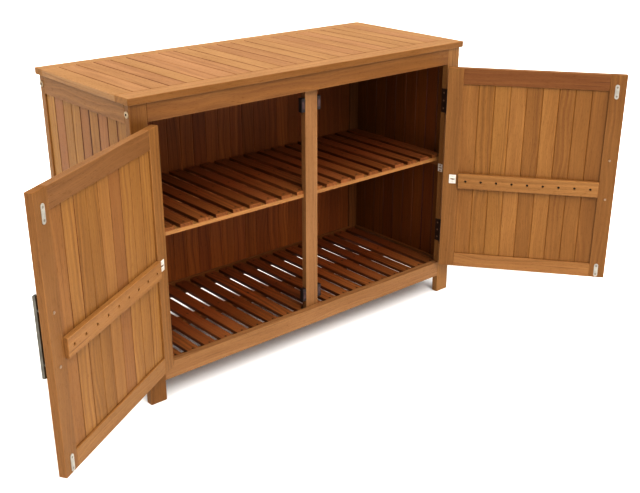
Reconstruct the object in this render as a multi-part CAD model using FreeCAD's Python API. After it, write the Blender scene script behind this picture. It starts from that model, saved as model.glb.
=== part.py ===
# Garden storage cabinet with two hinged doors, in millimetres.
# Origin on the floor under the middle of the leg frame, +Z up, the doors at the front, -Y.
import math
import os

import FreeCAD
import Part

Vector = FreeCAD.Vector

# Overall sizes
FRAME_WIDTH = 1188.0
FRAME_DEPTH = 470.0
HEIGHT = 850.0

# Worktop
TOP_THICKNESS = 18.0
TOP_SIDE_OVERHANG = 6.0
TOP_FRONT_OVERHANG = 9.0
TOP_BACK_OVERHANG = 11.0
TOP_SIDE_BOARD_WIDTH = 50.0
TOP_FRONT_BOARD_WIDTH = 59.0
TOP_BACK_BOARD_WIDTH = 41.0
TOP_SLAT_COUNT = 21
TOP_BEARER_THICKNESS = 20.0
TOP_BEARER_WIDTH = 48.0

# Legs and rails
LEG_WIDTH = 50.0
RAIL_HEIGHT = 50.0
DOOR_THICKNESS = 20.0
DOOR_POST_CLEARANCE = 2.0
LEG_DEPTH = DOOR_THICKNESS + DOOR_POST_CLEARANCE
RAIL_THICKNESS = LEG_DEPTH
BOTTOM_RAIL_CLEARANCE = 60.0
POST_WIDTH = 45.0
POST_DEPTH = 19.0
LEG_ROUNDING = 2.0
RAIL_ROUNDING = 1.2
BOARD_ROUNDING = 1.5

# Boarded walls
WALL_BOARD_THICKNESS = 12.0
WALL_RECESS = 4.0
WALL_GROOVE_DEPTH = 8.0
SIDE_BOARD_COUNT = 9
BACK_BOARD_COUNT = 23

# Tongue and groove section
TONGUE_LENGTH = 5.0
TONGUE_SHARE = 0.36
TONGUE_CLEARANCE = 0.2
V_CHAMFER = 1.8

# Play of board edges in their grooves
GROOVE_PLAY = 0.1
GROOVE_END_PLAY = 1.0

# Slatted shelves
SLAT_COUNT = 20
SLAT_WIDTH = 39.0
SLAT_END_GAP = 8.15
SLAT_THICKNESS = 10.0
SLAT_ROUNDING = 1.0
BEARER_WIDTH = 30.0
BOTTOM_BEARER_HEIGHT = 20.0
BOTTOM_SLAT_DROP = 6.0
BOTTOM_SLAT_END_GAP = 1.0
BOTTOM_POST_CUTOUT = 10.0
SHELF_ABOVE_MIDDLE = 16.5
SHELF_BEARER_HEIGHT = 11.0
SHELF_FRONT_SETBACK = 31.0
SHELF_BACK_GAP = 11.0
SHELF_POST_CUTOUT = 0.5
SHELF_END_PLAY = 0.5
CLEAT_SIZE = 20.0

# Doors
HINGE_GAP = 2.0
CENTRE_GAP = 4.0
DOOR_END_GAP = 3.5
STILE_WIDTH = 49.0
DOOR_TOP_RAIL_HEIGHT = 50.0
DOOR_BOTTOM_RAIL_HEIGHT = 46.0
DOOR_BOARD_COUNT = 9
DOOR_BOARD_THICKNESS = 10.0
DOOR_GROOVE_DEPTH = 7.0
DOOR_ROUNDING = 1.2
BATTEN_HEIGHT = 49.0
BATTEN_BELOW_MIDDLE = 32.0
BATTEN_PROUD = 8.4
BATTEN_POCKET_RADIUS = 3.8
BATTEN_POCKET_DEPTH = 5.0
LEFT_DOOR_OPEN_DEG = 148.6
RIGHT_DOOR_OPEN_DEG = 127.1

# Hinges
HINGE_LENGTH = 76.0
HINGE_END_DISTANCE = 112.5
LEAF_WIDTH = 20.0
LEAF_THICKNESS = 0.9
KNUCKLE_RADIUS = 4.0
KNUCKLE_COUNT = 5
KNUCKLE_GAP = 0.3
PIN_RADIUS = 2.0
PIN_CLEARANCE = 0.05
PIN_CAP_RADIUS = 3.2
PIN_CAP_HEIGHT = 1.4
BARREL_CLEARANCE = 0.6
LEAF_SCREW_SPACING = 25.0

# Handles
HANDLE_LENGTH = 196.0
HANDLE_WIDTH = 11.0
HANDLE_THICKNESS = 8.0
HANDLE_STANDOFF = 17.0
HANDLE_POST_RADIUS = 4.5
HANDLE_SCREW_SPACING = 128.0
HANDLE_EDGE_DISTANCE = 24.5
HANDLE_ROUNDING = 0.8
HANDLE_SCREW_RADIUS = 2.0
HANDLE_SCREW_HEAD_RADIUS = 3.8
HANDLE_SCREW_HEAD_HEIGHT = 1.8
HANDLE_SCREW_BITE = 12.0

# Magnetic catches and strike plates
CATCH_WIDTH = 13.0
CATCH_DEPTH = 13.5
CATCH_HEIGHT = 40.0
CATCH_SETBACK = 0.5
CATCH_ROUNDING = 0.5
MAGNET_WIDTH = 9.0
MAGNET_HEIGHT = 22.0
MAGNET_DEPTH = 10.0
MAGNET_PROUD = 0.7
CATCH_BOTTOM_DISTANCE = 38.5
CATCH_TOP_DISTANCE = 40.5
STRIKE_WIDTH = 13.0
STRIKE_HEIGHT = 45.0
STRIKE_THICKNESS = 1.5
STRIKE_SCREW_SPACING = 28.0
STRIKE_BOTTOM_DISTANCE = 25.5
STRIKE_TOP_DISTANCE = 51.5

# Stay plates
DOOR_STAY_SIZE = (22.6, 29.7, 1.5)
DOOR_STAY_EDGE_DISTANCE = 31.0
DOOR_STAY_BELOW_MIDDLE = 28.0
LEG_STAY_SIZE = (19.0, 26.0, 1.0)
LEG_STAY_BELOW_MIDDLE = 4.0
STAY_SLOT_LENGTH = 13.0
STAY_SLOT_HEIGHT = 3.0
STAY_SCREW_SPACING = 17.0
STAY_CORNER_RADIUS = 1.5

# Screws and bolts
SCREW_HEAD_RADIUS = 3.2
SCREW_HEAD_DEPTH = 1.8
SCREW_SHANK_RADIUS = 1.5
SCREW_CLEARANCE = 0.1
HINGE_SCREW = 22.0
SHORT_SCREW = 14.0
SLAT_SCREW_BITE = 9.0
SOCKET_ACROSS_FLATS = 2.0
SOCKET_DEPTH = 1.0
BOLT_HEAD_RADIUS = 8.75
BOLT_HEAD_HEIGHT = 2.4
BOLT_HEAD_ROUNDING = 0.6
BOLT_RADIUS = 3.0
BOLT_CLEARANCE = 0.2
BOLT_BITE = 35.0
BOLT_SOCKET_ACROSS_FLATS = 5.0
BOLT_SOCKET_DEPTH = 1.8

# Levels and planes that follow from the sizes above
HALF_WIDTH = FRAME_WIDTH / 2
HALF_DEPTH = FRAME_DEPTH / 2
LEG_TOP = HEIGHT - TOP_THICKNESS
LEG_INNER_X = HALF_WIDTH - LEG_WIDTH
FRONT_Y = -HALF_DEPTH
LEG_BACK_Y = FRONT_Y + LEG_DEPTH
INNER_DEPTH = HALF_DEPTH - LEG_DEPTH
TOP_RAIL_BOTTOM = LEG_TOP - RAIL_HEIGHT
BOTTOM_RAIL_TOP = BOTTOM_RAIL_CLEARANCE + RAIL_HEIGHT
SIDE_RAIL_INNER_X = HALF_WIDTH - RAIL_THICKNESS
WALL_INNER_X = HALF_WIDTH - WALL_RECESS - WALL_BOARD_THICKNESS
WALL_INNER_Y = HALF_DEPTH - WALL_RECESS - WALL_BOARD_THICKNESS
BOTTOM_SLAT_TOP = BOTTOM_RAIL_TOP - BOTTOM_SLAT_DROP
BOTTOM_BEARER_TOP = BOTTOM_SLAT_TOP - SLAT_THICKNESS
DOOR_BOTTOM = BOTTOM_RAIL_TOP + DOOR_END_GAP
DOOR_TOP = TOP_RAIL_BOTTOM - DOOR_END_GAP
DOOR_MIDDLE = (DOOR_BOTTOM + DOOR_TOP) / 2
SLAT_SPAN = 2 * (SIDE_RAIL_INNER_X - SLAT_END_GAP)
SLAT_PITCH = (SLAT_SPAN - SLAT_WIDTH) / (SLAT_COUNT - 1)
SLAT_SCREW = SLAT_THICKNESS + SLAT_SCREW_BITE
SHELF_LEVEL = DOOR_MIDDLE + SHELF_ABOVE_MIDDLE
SHELF_BEARER_TOP = SHELF_LEVEL + SHELF_BEARER_HEIGHT
SHELF_FRONT_Y = FRONT_Y + SHELF_FRONT_SETBACK
SHELF_BACK_Y = WALL_INNER_Y - SHELF_BACK_GAP
POST_BACK_Y = LEG_BACK_Y + POST_DEPTH
TOP_BEARER_BOTTOM = LEG_TOP - TOP_BEARER_THICKNESS
DOOR_HINGE_X = LEG_INNER_X - HINGE_GAP
DOOR_FREE_X = CENTRE_GAP / 2
DOOR_INNER_Y = FRONT_Y + DOOR_THICKNESS
DOOR_BOARD_Y = FRONT_Y + (DOOR_THICKNESS - DOOR_BOARD_THICKNESS) / 2
DOOR_BOARD_INNER_Y = DOOR_BOARD_Y + DOOR_BOARD_THICKNESS
AXIS_X = LEG_INNER_X - HINGE_GAP / 2
AXIS_Y = FRONT_Y - KNUCKLE_RADIUS - BARREL_CLEARANCE
HINGE_LEVELS = (DOOR_BOTTOM + HINGE_END_DISTANCE, DOOR_TOP - HINGE_END_DISTANCE)
CATCH_LEVELS = (DOOR_BOTTOM + CATCH_BOTTOM_DISTANCE, DOOR_TOP - CATCH_TOP_DISTANCE)
STRIKE_LEVELS = (DOOR_BOTTOM + STRIKE_BOTTOM_DISTANCE, DOOR_TOP - STRIKE_TOP_DISTANCE)
BATTEN_BOTTOM = DOOR_MIDDLE - BATTEN_BELOW_MIDDLE - BATTEN_HEIGHT / 2
DOOR_STAY_LEVEL = DOOR_MIDDLE - DOOR_STAY_BELOW_MIDDLE
LEG_STAY_LEVEL = DOOR_MIDDLE - LEG_STAY_BELOW_MIDDLE

LEFT = -1
RIGHT = 1
X_AXIS = Vector(1, 0, 0)
Y_AXIS = Vector(0, 1, 0)
Z_AXIS = Vector(0, 0, 1)
ORIGIN = Vector(0, 0, 0)

# How far a cutting tool runs past the face it cuts
TOOL_OVERRUN = 1.0

# Cosine of the largest angle at which an edge still counts as running along an axis
ALONG_AXIS = 0.999

# Knuckles that belong to the leg leaf and to the door leaf
LEG_KNUCKLES = range(0, KNUCKLE_COUNT, 2)
DOOR_KNUCKLES = range(1, KNUCKLE_COUNT, 2)


def box(x0, x1, y0, y1, z0, z1):
    """Return a box between two values on each axis."""
    return Part.makeBox(x1 - x0, y1 - y0, z1 - z0, Vector(x0, y0, z0))


def edges_along(solid, axis):
    """Return the straight edges of a solid that run along an axis."""
    found = []
    for edge in solid.Edges:
        if abs(edge.tangentAt(edge.FirstParameter).dot(axis)) > ALONG_AXIS:
            found.append(edge)
    return found


def soften(solid, radius, axis=None):
    """Round every edge of a plain board, or only those along one axis."""
    edges = solid.Edges if axis is None else edges_along(solid, axis)
    return solid.makeFillet(radius, edges)


def mirrored(shape):
    """Return a copy of a shape on the other side of the middle plane."""
    return shape.mirror(ORIGIN, X_AXIS)


def mirrored_all(shapes):
    """Mirror a list of shapes."""
    return [mirrored(shape) for shape in shapes]


def both_sides(shapes):
    """Return shapes of the right side with their mirror images."""
    return list(shapes) + mirrored_all(shapes)


def placed(shape, at, towards):
    """Return a copy of a shape made along +Z, moved to a point and turned towards a direction."""
    copy = shape.copy()
    copy.Placement = FreeCAD.Placement(at, FreeCAD.Rotation(Z_AXIS, towards))
    return copy


def cut_all(solid, tools):
    """Cut a list of tools out of a solid."""
    return solid.cut(Part.makeCompound(tools)) if tools else solid


def first_solid(shape):
    """Return the single solid of a boolean result."""
    return shape.Solids[0]


def hexagon_prism(across_flats, depth):
    """Return a hexagonal prism from z = 0 upwards."""
    radius = across_flats / math.sqrt(3)
    corners = []
    for index in range(7):
        angle = math.radians(60 * index)
        corners.append(Vector(radius * math.cos(angle), radius * math.sin(angle), 0))
    return Part.Face(Part.makePolygon(corners)).extrude(Vector(0, 0, depth))


def wood_screw(length):
    """Return a countersunk screw with its head at z = 0 and its point up +Z."""
    head = Part.makeCone(SCREW_HEAD_RADIUS, SCREW_SHANK_RADIUS, SCREW_HEAD_DEPTH)
    shank_length = length - SCREW_HEAD_DEPTH
    shank = Part.makeCylinder(SCREW_SHANK_RADIUS, shank_length, Vector(0, 0, SCREW_HEAD_DEPTH))
    body = head.fuse(shank).removeSplitter()
    return first_solid(body.cut(hexagon_prism(SOCKET_ACROSS_FLATS, SOCKET_DEPTH)))


def screw_hole(length):
    """Return the cutting tool for the hole of a wood screw."""
    head_radius = SCREW_HEAD_RADIUS + SCREW_CLEARANCE
    shank_radius = SCREW_SHANK_RADIUS + SCREW_CLEARANCE
    head = Part.makeCone(head_radius, shank_radius, SCREW_HEAD_DEPTH)
    shank = Part.makeCylinder(shank_radius, length + SCREW_CLEARANCE)
    mouth = Part.makeCylinder(head_radius, TOOL_OVERRUN, Vector(0, 0, -TOOL_OVERRUN))
    return head.fuse([shank, mouth])


HINGE_SCREW_SHAPE = wood_screw(HINGE_SCREW)
HINGE_HOLE_SHAPE = screw_hole(HINGE_SCREW)
SLAT_SCREW_SHAPE = wood_screw(SLAT_SCREW)
SLAT_HOLE_SHAPE = screw_hole(SLAT_SCREW)
SHORT_SCREW_SHAPE = wood_screw(SHORT_SCREW)
SHORT_HOLE_SHAPE = screw_hole(SHORT_SCREW)


def board_section(u0, u1, thickness, low_edge, high_edge):
    """Return the outline of one board as (u, v) points.

    An edge is "plain" (with chamfered arrises), "square" (housed in a groove), "groove" or
    "tongue".
    """
    tongue = thickness * TONGUE_SHARE
    groove = tongue + 2 * TONGUE_CLEARANCE
    middle = thickness / 2
    low_chamfer = 0 if low_edge == "square" else V_CHAMFER
    high_chamfer = 0 if high_edge == "square" else V_CHAMFER
    points = [(u0 + low_chamfer, 0), (u1 - high_chamfer, 0)]
    if high_chamfer:
        points.append((u1, high_chamfer))
    if high_edge == "tongue":
        points.append((u1, middle - tongue / 2))
        points.append((u1 + TONGUE_LENGTH, middle - tongue / 2))
        points.append((u1 + TONGUE_LENGTH, middle + tongue / 2))
        points.append((u1, middle + tongue / 2))
    if high_chamfer:
        points.append((u1, thickness - high_chamfer))
    points.append((u1 - high_chamfer, thickness))
    points.append((u0 + low_chamfer, thickness))
    if low_chamfer:
        points.append((u0, thickness - low_chamfer))
    if low_edge == "groove":
        depth = TONGUE_LENGTH + TONGUE_CLEARANCE
        points.append((u0, middle + groove / 2))
        points.append((u0 + depth, middle + groove / 2))
        points.append((u0 + depth, middle - groove / 2))
        points.append((u0, middle - groove / 2))
    if low_chamfer:
        points.append((u0, low_chamfer))
    return points


def boarding(count, span, thickness, corner, along, across, length, housing=0.0):
    """Return tongued and grooved boards side by side.

    The boards fill a span that starts at a corner and runs in one direction, with their
    thickness in the across direction and the length as a vector. With a housing, the two outer
    edges run that far into the grooves of a frame.
    """
    pitch = span / count
    boards = []
    for index in range(count):
        u0 = index * pitch
        u1 = u0 + pitch
        low_edge = "groove"
        high_edge = "tongue"
        if index == 0:
            low_edge = "square" if housing else "plain"
            u0 -= housing
        if index == count - 1:
            high_edge = "square" if housing else "plain"
            u1 += housing
        outline = board_section(u0, u1, thickness, low_edge, high_edge)
        points = [corner + along * u + across * v for u, v in outline]
        points.append(points[0])
        boards.append(Part.Face(Part.makePolygon(points)).extrude(length))
    return boards


def build_legs():
    """Return the four legs, with the holes for bolts, hinges and stay plates."""
    leg = box(LEG_INNER_X, HALF_WIDTH, FRONT_Y, LEG_BACK_Y, 0, LEG_TOP)
    leg = soften(leg, LEG_ROUNDING)
    hole_length = LEG_WIDTH + 2 * TOOL_OVERRUN
    hole_radius = BOLT_RADIUS + BOLT_CLEARANCE
    start = bolt_point(HALF_WIDTH + TOOL_OVERRUN)
    leg = leg.cut(Part.makeCylinder(hole_radius, hole_length, start, -X_AXIS))
    rear = leg.mirror(ORIGIN, Y_AXIS)
    front = first_solid(cut_all(leg, leg_screw_holes()))
    rear = first_solid(rear)
    return {
        "leg_front_right": [front],
        "leg_front_left": [mirrored(front)],
        "leg_rear_right": [rear],
        "leg_rear_left": [mirrored(rear)],
    }


def bolt_point(x):
    """Return the point of the front frame bolt axis at a given x."""
    return Vector(x, FRONT_Y + LEG_DEPTH / 2, LEG_TOP - RAIL_HEIGHT / 2)


def leg_screw_holes():
    """Return the screw holes in the inner face of the right front leg."""
    holes = []
    for point in leaf_screw_points(LEG_INNER_X - LEAF_THICKNESS):
        holes.append(placed(HINGE_HOLE_SHAPE, point, X_AXIS))
    for point in leg_stay_screw_points():
        holes.append(placed(SHORT_HOLE_SHAPE, point, X_AXIS))
    return holes


def leaf_screw_points(x):
    """Return the screw head centres of the right hinge leaves on a plane across x."""
    points = []
    middle = FRONT_Y + LEAF_WIDTH / 2
    for level in HINGE_LEVELS:
        for step in (-1, 0, 1):
            points.append(Vector(x, middle, level + step * LEAF_SCREW_SPACING))
    return points


def leg_stay_screw_points():
    """Return the screw head centres of the stay plate on the right front leg."""
    x = LEG_INNER_X - LEG_STAY_SIZE[2]
    y = FRONT_Y + LEG_DEPTH / 2
    points = []
    for step in (-0.5, 0.5):
        points.append(Vector(x, y, LEG_STAY_LEVEL + step * STAY_SCREW_SPACING))
    return points


def with_bolt_holes(rail, y_sign):
    """Drill both ends of a top rail for the frame bolts."""
    tools = []
    depth = BOLT_BITE + BOLT_CLEARANCE
    for side in (LEFT, RIGHT):
        point = bolt_point(LEG_INNER_X + TOOL_OVERRUN)
        point.x *= side
        point.y *= -y_sign
        tools.append(
            Part.makeCylinder(BOLT_RADIUS + BOLT_CLEARANCE, depth + TOOL_OVERRUN, point, X_AXIS * -side)
        )
    return first_solid(cut_all(rail, tools))


def rail_levels():
    """Return the bottom levels of the lower and the upper rails."""
    return (BOTTOM_RAIL_CLEARANCE, TOP_RAIL_BOTTOM)


def wall_groove_levels(bottom):
    """Return the lower and upper level of the board groove in a wall rail."""
    if bottom == BOTTOM_RAIL_CLEARANCE:
        top = bottom + RAIL_HEIGHT
        return (top - WALL_GROOVE_DEPTH, top + TOOL_OVERRUN)
    return (bottom - TOOL_OVERRUN, bottom + WALL_GROOVE_DEPTH + GROOVE_END_PLAY)


def build_rails():
    """Return the front, back and side rails."""
    front = {}
    for name, bottom in zip(("bottom", "top"), rail_levels()):
        blank = box(-LEG_INNER_X, LEG_INNER_X, FRONT_Y, LEG_BACK_Y, bottom, bottom + RAIL_HEIGHT)
        front[name] = soften(blank, RAIL_ROUNDING)
    back = {}
    side = {}
    for name, bottom in zip(("bottom", "top"), rail_levels()):
        low, high = wall_groove_levels(bottom)
        blank = front[name].mirror(ORIGIN, Y_AXIS)
        groove = box(
            -HALF_WIDTH,
            HALF_WIDTH,
            WALL_INNER_Y - GROOVE_PLAY,
            WALL_INNER_Y + WALL_BOARD_THICKNESS + GROOVE_PLAY,
            low,
            high,
        )
        back[name] = first_solid(blank.cut(groove))
        blank = box(
            SIDE_RAIL_INNER_X, HALF_WIDTH, -INNER_DEPTH, INNER_DEPTH, bottom, bottom + RAIL_HEIGHT
        )
        blank = soften(blank, RAIL_ROUNDING)
        groove = box(
            WALL_INNER_X - GROOVE_PLAY,
            WALL_INNER_X + WALL_BOARD_THICKNESS + GROOVE_PLAY,
            -HALF_DEPTH,
            HALF_DEPTH,
            low,
            high,
        )
        side[name] = first_solid(blank.cut(groove))
    return {
        "front_apron": [with_bolt_holes(front["top"], -1)],
        "front_bottom_rail": [front["bottom"]],
        "back_top_rail": [with_bolt_holes(back["top"], 1)],
        "back_bottom_rail": [back["bottom"]],
        "side_top_rail_right": [side["top"]],
        "side_top_rail_left": [mirrored(side["top"])],
        "side_bottom_rail_right": [side["bottom"]],
        "side_bottom_rail_left": [mirrored(side["bottom"])],
    }


def build_walls():
    """Return the boards of the side and back walls, housed in the rails."""
    low = BOTTOM_RAIL_TOP - WALL_GROOVE_DEPTH
    high = TOP_RAIL_BOTTOM + WALL_GROOVE_DEPTH
    length = Vector(0, 0, high - low)
    side = boarding(
        SIDE_BOARD_COUNT,
        2 * INNER_DEPTH,
        WALL_BOARD_THICKNESS,
        Vector(WALL_INNER_X, -INNER_DEPTH, low),
        Y_AXIS,
        X_AXIS,
        length,
    )
    back = boarding(
        BACK_BOARD_COUNT,
        2 * LEG_INNER_X,
        WALL_BOARD_THICKNESS,
        Vector(-LEG_INNER_X, WALL_INNER_Y, low),
        X_AXIS,
        Y_AXIS,
        length,
    )
    return {
        "side_boards_right": side,
        "side_boards_left": mirrored_all(side),
        "back_boards": back,
    }


def build_post():
    """Return the centre post between the lowest and the highest front bearers."""
    half = POST_WIDTH / 2
    post = box(-half, half, LEG_BACK_Y, POST_BACK_Y, BOTTOM_BEARER_TOP, TOP_BEARER_BOTTOM)
    return {"centre_post": [soften(post, RAIL_ROUNDING, Z_AXIS)]}


def build_worktop():
    """Return the framed worktop of boards and the bearers under it."""
    edge_x = HALF_WIDTH + TOP_SIDE_OVERHANG
    front_y = FRONT_Y - TOP_FRONT_OVERHANG
    back_y = HALF_DEPTH + TOP_BACK_OVERHANG
    slats_front = front_y + TOP_FRONT_BOARD_WIDTH
    slats_back = back_y - TOP_BACK_BOARD_WIDTH
    slats_x = edge_x - TOP_SIDE_BOARD_WIDTH
    front = soften(box(-edge_x, edge_x, front_y, slats_front, LEG_TOP, HEIGHT), BOARD_ROUNDING)
    back = soften(box(-edge_x, edge_x, slats_back, back_y, LEG_TOP, HEIGHT), BOARD_ROUNDING)
    side = soften(box(slats_x, edge_x, slats_front, slats_back, LEG_TOP, HEIGHT), BOARD_ROUNDING)
    slats = boarding(
        TOP_SLAT_COUNT,
        2 * slats_x,
        TOP_THICKNESS,
        Vector(-slats_x, slats_front, LEG_TOP),
        X_AXIS,
        Z_AXIS,
        Vector(0, slats_back - slats_front, 0),
    )
    bearers = []
    half = TOP_BEARER_WIDTH / 2
    for middle in (-INNER_DEPTH + half, 0.0, INNER_DEPTH - half):
        bearers.append(
            box(
                -SIDE_RAIL_INNER_X,
                SIDE_RAIL_INNER_X,
                middle - half,
                middle + half,
                TOP_BEARER_BOTTOM,
                LEG_TOP,
            )
        )
    return {
        "worktop_front_board": [front],
        "worktop_back_board": [back],
        "worktop_right_board": [side],
        "worktop_left_board": [mirrored(side)],
        "worktop_slats": slats,
        "worktop_bearers": bearers,
    }


def slat_centres():
    """Return the x of the shelf slats on the right half, from the middle outwards."""
    return [(index + 0.5) * SLAT_PITCH for index in range(SLAT_COUNT // 2)]


def bearer_lines(front_y, back_y):
    """Return the middle y of the front, middle and back bearers of a shelf."""
    half = BEARER_WIDTH / 2
    return (front_y + half, (front_y + back_y) / 2, back_y - half)


def slat_screw_points(top, lines):
    """Return the screw head centres on the slats of the right half."""
    points = []
    for x in slat_centres():
        for y in lines:
            points.append(Vector(x, y, top))
    return points


def shelf_slats(bottom, front_y, back_y, lines, post_cutout):
    """Return the slats of the right half, drilled, with the first one cut round the post."""
    slats = []
    for x in slat_centres():
        slat = box(
            x - SLAT_WIDTH / 2,
            x + SLAT_WIDTH / 2,
            front_y,
            back_y,
            bottom,
            bottom + SLAT_THICKNESS,
        )
        slat = soften(slat, SLAT_ROUNDING, Y_AXIS)
        holes = []
        for y in lines:
            point = Vector(x, y, bottom + SLAT_THICKNESS)
            holes.append(placed(SLAT_HOLE_SHAPE, point, -Z_AXIS))
        slat = cut_all(slat, holes)
        if x - SLAT_WIDTH / 2 < POST_WIDTH / 2 + post_cutout:
            reach = POST_WIDTH / 2 + post_cutout
            back = POST_BACK_Y + post_cutout
            slat = slat.cut(box(-reach, reach, FRONT_Y, back, 0, HEIGHT))
        slats.append(first_solid(slat))
    return slats


def drilled_bearer(bearer, top, lines):
    """Drill a bearer under every slat that it carries."""
    bounds = bearer.BoundBox
    holes = []
    for point in slat_screw_points(top, lines):
        for side in (LEFT, RIGHT):
            x = side * point.x
            if bounds.XMin < x < bounds.XMax and bounds.YMin < point.y < bounds.YMax:
                holes.append(placed(SLAT_HOLE_SHAPE, Vector(x, point.y, top), -Z_AXIS))
    return first_solid(cut_all(bearer, holes))


def build_bottom():
    """Return the bottom slats and the bearers between the side rails."""
    front_y = -INNER_DEPTH
    back_y = INNER_DEPTH
    lines = bearer_lines(front_y, back_y)
    slats = shelf_slats(
        BOTTOM_BEARER_TOP,
        front_y + BOTTOM_SLAT_END_GAP,
        back_y - BOTTOM_SLAT_END_GAP,
        lines,
        BOTTOM_POST_CUTOUT,
    )
    bearers = []
    for middle in lines:
        bearer = box(
            -SIDE_RAIL_INNER_X,
            SIDE_RAIL_INNER_X,
            middle - BEARER_WIDTH / 2,
            middle + BEARER_WIDTH / 2,
            BOTTOM_BEARER_TOP - BOTTOM_BEARER_HEIGHT,
            BOTTOM_BEARER_TOP,
        )
        bearers.append(drilled_bearer(bearer, BOTTOM_SLAT_TOP, lines))
    return {"bottom_slats": both_sides(slats), "bottom_bearers": bearers}


def build_shelf():
    """Return the loose middle shelf and the cleats that carry it."""
    lines = bearer_lines(SHELF_FRONT_Y, SHELF_BACK_Y)
    top = SHELF_BEARER_TOP + SLAT_THICKNESS
    slats = shelf_slats(SHELF_BEARER_TOP, SHELF_FRONT_Y, SHELF_BACK_Y, lines, SHELF_POST_CUTOUT)
    end_x = WALL_INNER_X - SHELF_END_PLAY
    starts = (POST_WIDTH / 2, -end_x, -end_x)
    bearers = []
    for start, middle in zip(starts, lines):
        bearer = box(
            start,
            end_x,
            middle - BEARER_WIDTH / 2,
            middle + BEARER_WIDTH / 2,
            SHELF_LEVEL,
            SHELF_BEARER_TOP,
        )
        bearers.append(drilled_bearer(bearer, top, lines))
    bearers.append(mirrored(bearers[0]))
    cleat = box(
        WALL_INNER_X - CLEAT_SIZE,
        WALL_INNER_X,
        SHELF_FRONT_Y,
        SHELF_BACK_Y,
        SHELF_LEVEL - CLEAT_SIZE,
        SHELF_LEVEL,
    )
    return {
        "shelf_slats": both_sides(slats),
        "shelf_bearers": bearers,
        "shelf_cleats": both_sides([cleat]),
    }


def build_slat_screws():
    """Return the screws of the bottom and of the middle shelf."""
    points = slat_screw_points(BOTTOM_SLAT_TOP, bearer_lines(-INNER_DEPTH, INNER_DEPTH))
    shelf_lines = bearer_lines(SHELF_FRONT_Y, SHELF_BACK_Y)
    points += slat_screw_points(SHELF_BEARER_TOP + SLAT_THICKNESS, shelf_lines)
    screws = [placed(SLAT_SCREW_SHAPE, point, -Z_AXIS) for point in points]
    return {"slat_screws": both_sides(screws)}


def build_catches():
    """Return the magnetic catches on both sides of the post."""
    housings = []
    magnets = []
    x0 = POST_WIDTH / 2
    front_y = LEG_BACK_Y + CATCH_SETBACK
    for level in CATCH_LEVELS:
        housing = box(
            x0,
            x0 + CATCH_WIDTH,
            front_y,
            front_y + CATCH_DEPTH,
            level - CATCH_HEIGHT / 2,
            level + CATCH_HEIGHT / 2,
        )
        housing = soften(housing, CATCH_ROUNDING)
        magnet_x0 = x0 + (CATCH_WIDTH - MAGNET_WIDTH) / 2
        magnet = box(
            magnet_x0,
            magnet_x0 + MAGNET_WIDTH,
            front_y - MAGNET_PROUD,
            front_y - MAGNET_PROUD + MAGNET_DEPTH,
            level - MAGNET_HEIGHT / 2,
            level + MAGNET_HEIGHT / 2,
        )
        housings.append(first_solid(housing.cut(magnet)))
        magnets.append(magnet)
    return {"catch_housings": both_sides(housings), "catch_magnets": both_sides(magnets)}


def build_frame_bolts():
    """Return the four bolts through the legs into the front and back top rails."""
    head = Part.makeCylinder(BOLT_HEAD_RADIUS, BOLT_HEAD_HEIGHT, Vector(0, 0, -BOLT_HEAD_HEIGHT))
    rim = [edge for edge in head.Edges if edge.BoundBox.ZMax < -BOLT_HEAD_HEIGHT / 2]
    head = head.makeFillet(BOLT_HEAD_ROUNDING, rim[:1])
    bolt = head.fuse(Part.makeCylinder(BOLT_RADIUS, LEG_WIDTH + BOLT_BITE)).removeSplitter()
    socket = hexagon_prism(BOLT_SOCKET_ACROSS_FLATS, BOLT_SOCKET_DEPTH)
    socket.translate(Vector(0, 0, -BOLT_HEAD_HEIGHT))
    bolt = first_solid(bolt.cut(socket))
    front = placed(bolt, bolt_point(HALF_WIDTH), -X_AXIS)
    back = front.mirror(ORIGIN, Y_AXIS)
    return {"frame_bolts": both_sides([front, back])}


def knuckle_ring(index, level):
    """Return one knuckle ring on the hinge axis of the right door."""
    length = (HINGE_LENGTH - (KNUCKLE_COUNT - 1) * KNUCKLE_GAP) / KNUCKLE_COUNT
    bottom = level - HINGE_LENGTH / 2 + index * (length + KNUCKLE_GAP)
    base = Vector(AXIS_X, AXIS_Y, bottom)
    outer = Part.makeCylinder(KNUCKLE_RADIUS, length, base)
    return outer, bottom, bottom + length


def hinge_leaf(level, inner_x, outer_x, indices, screw_x, direction):
    """Return one hinge leaf with its knuckles and countersunk holes."""
    edge_y = AXIS_Y + KNUCKLE_RADIUS + KNUCKLE_GAP
    low = level - HINGE_LENGTH / 2
    leaf = box(inner_x, outer_x, edge_y, FRONT_Y + LEAF_WIDTH, low, low + HINGE_LENGTH)
    root_y = AXIS_Y + (PIN_RADIUS + KNUCKLE_RADIUS) / 2
    parts = []
    for index in indices:
        ring, bottom, top = knuckle_ring(index, level)
        parts.append(ring)
        parts.append(box(inner_x, outer_x, root_y, edge_y + LEAF_THICKNESS, bottom, top))
    leaf = leaf.fuse(parts).removeSplitter()
    bore = Part.makeCylinder(PIN_RADIUS + PIN_CLEARANCE, HINGE_LENGTH, Vector(AXIS_X, AXIS_Y, low))
    holes = [placed(HINGE_HOLE_SHAPE, point, direction) for point in leaf_screw_points(screw_x)]
    return first_solid(cut_all(leaf, [bore] + holes))


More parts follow.
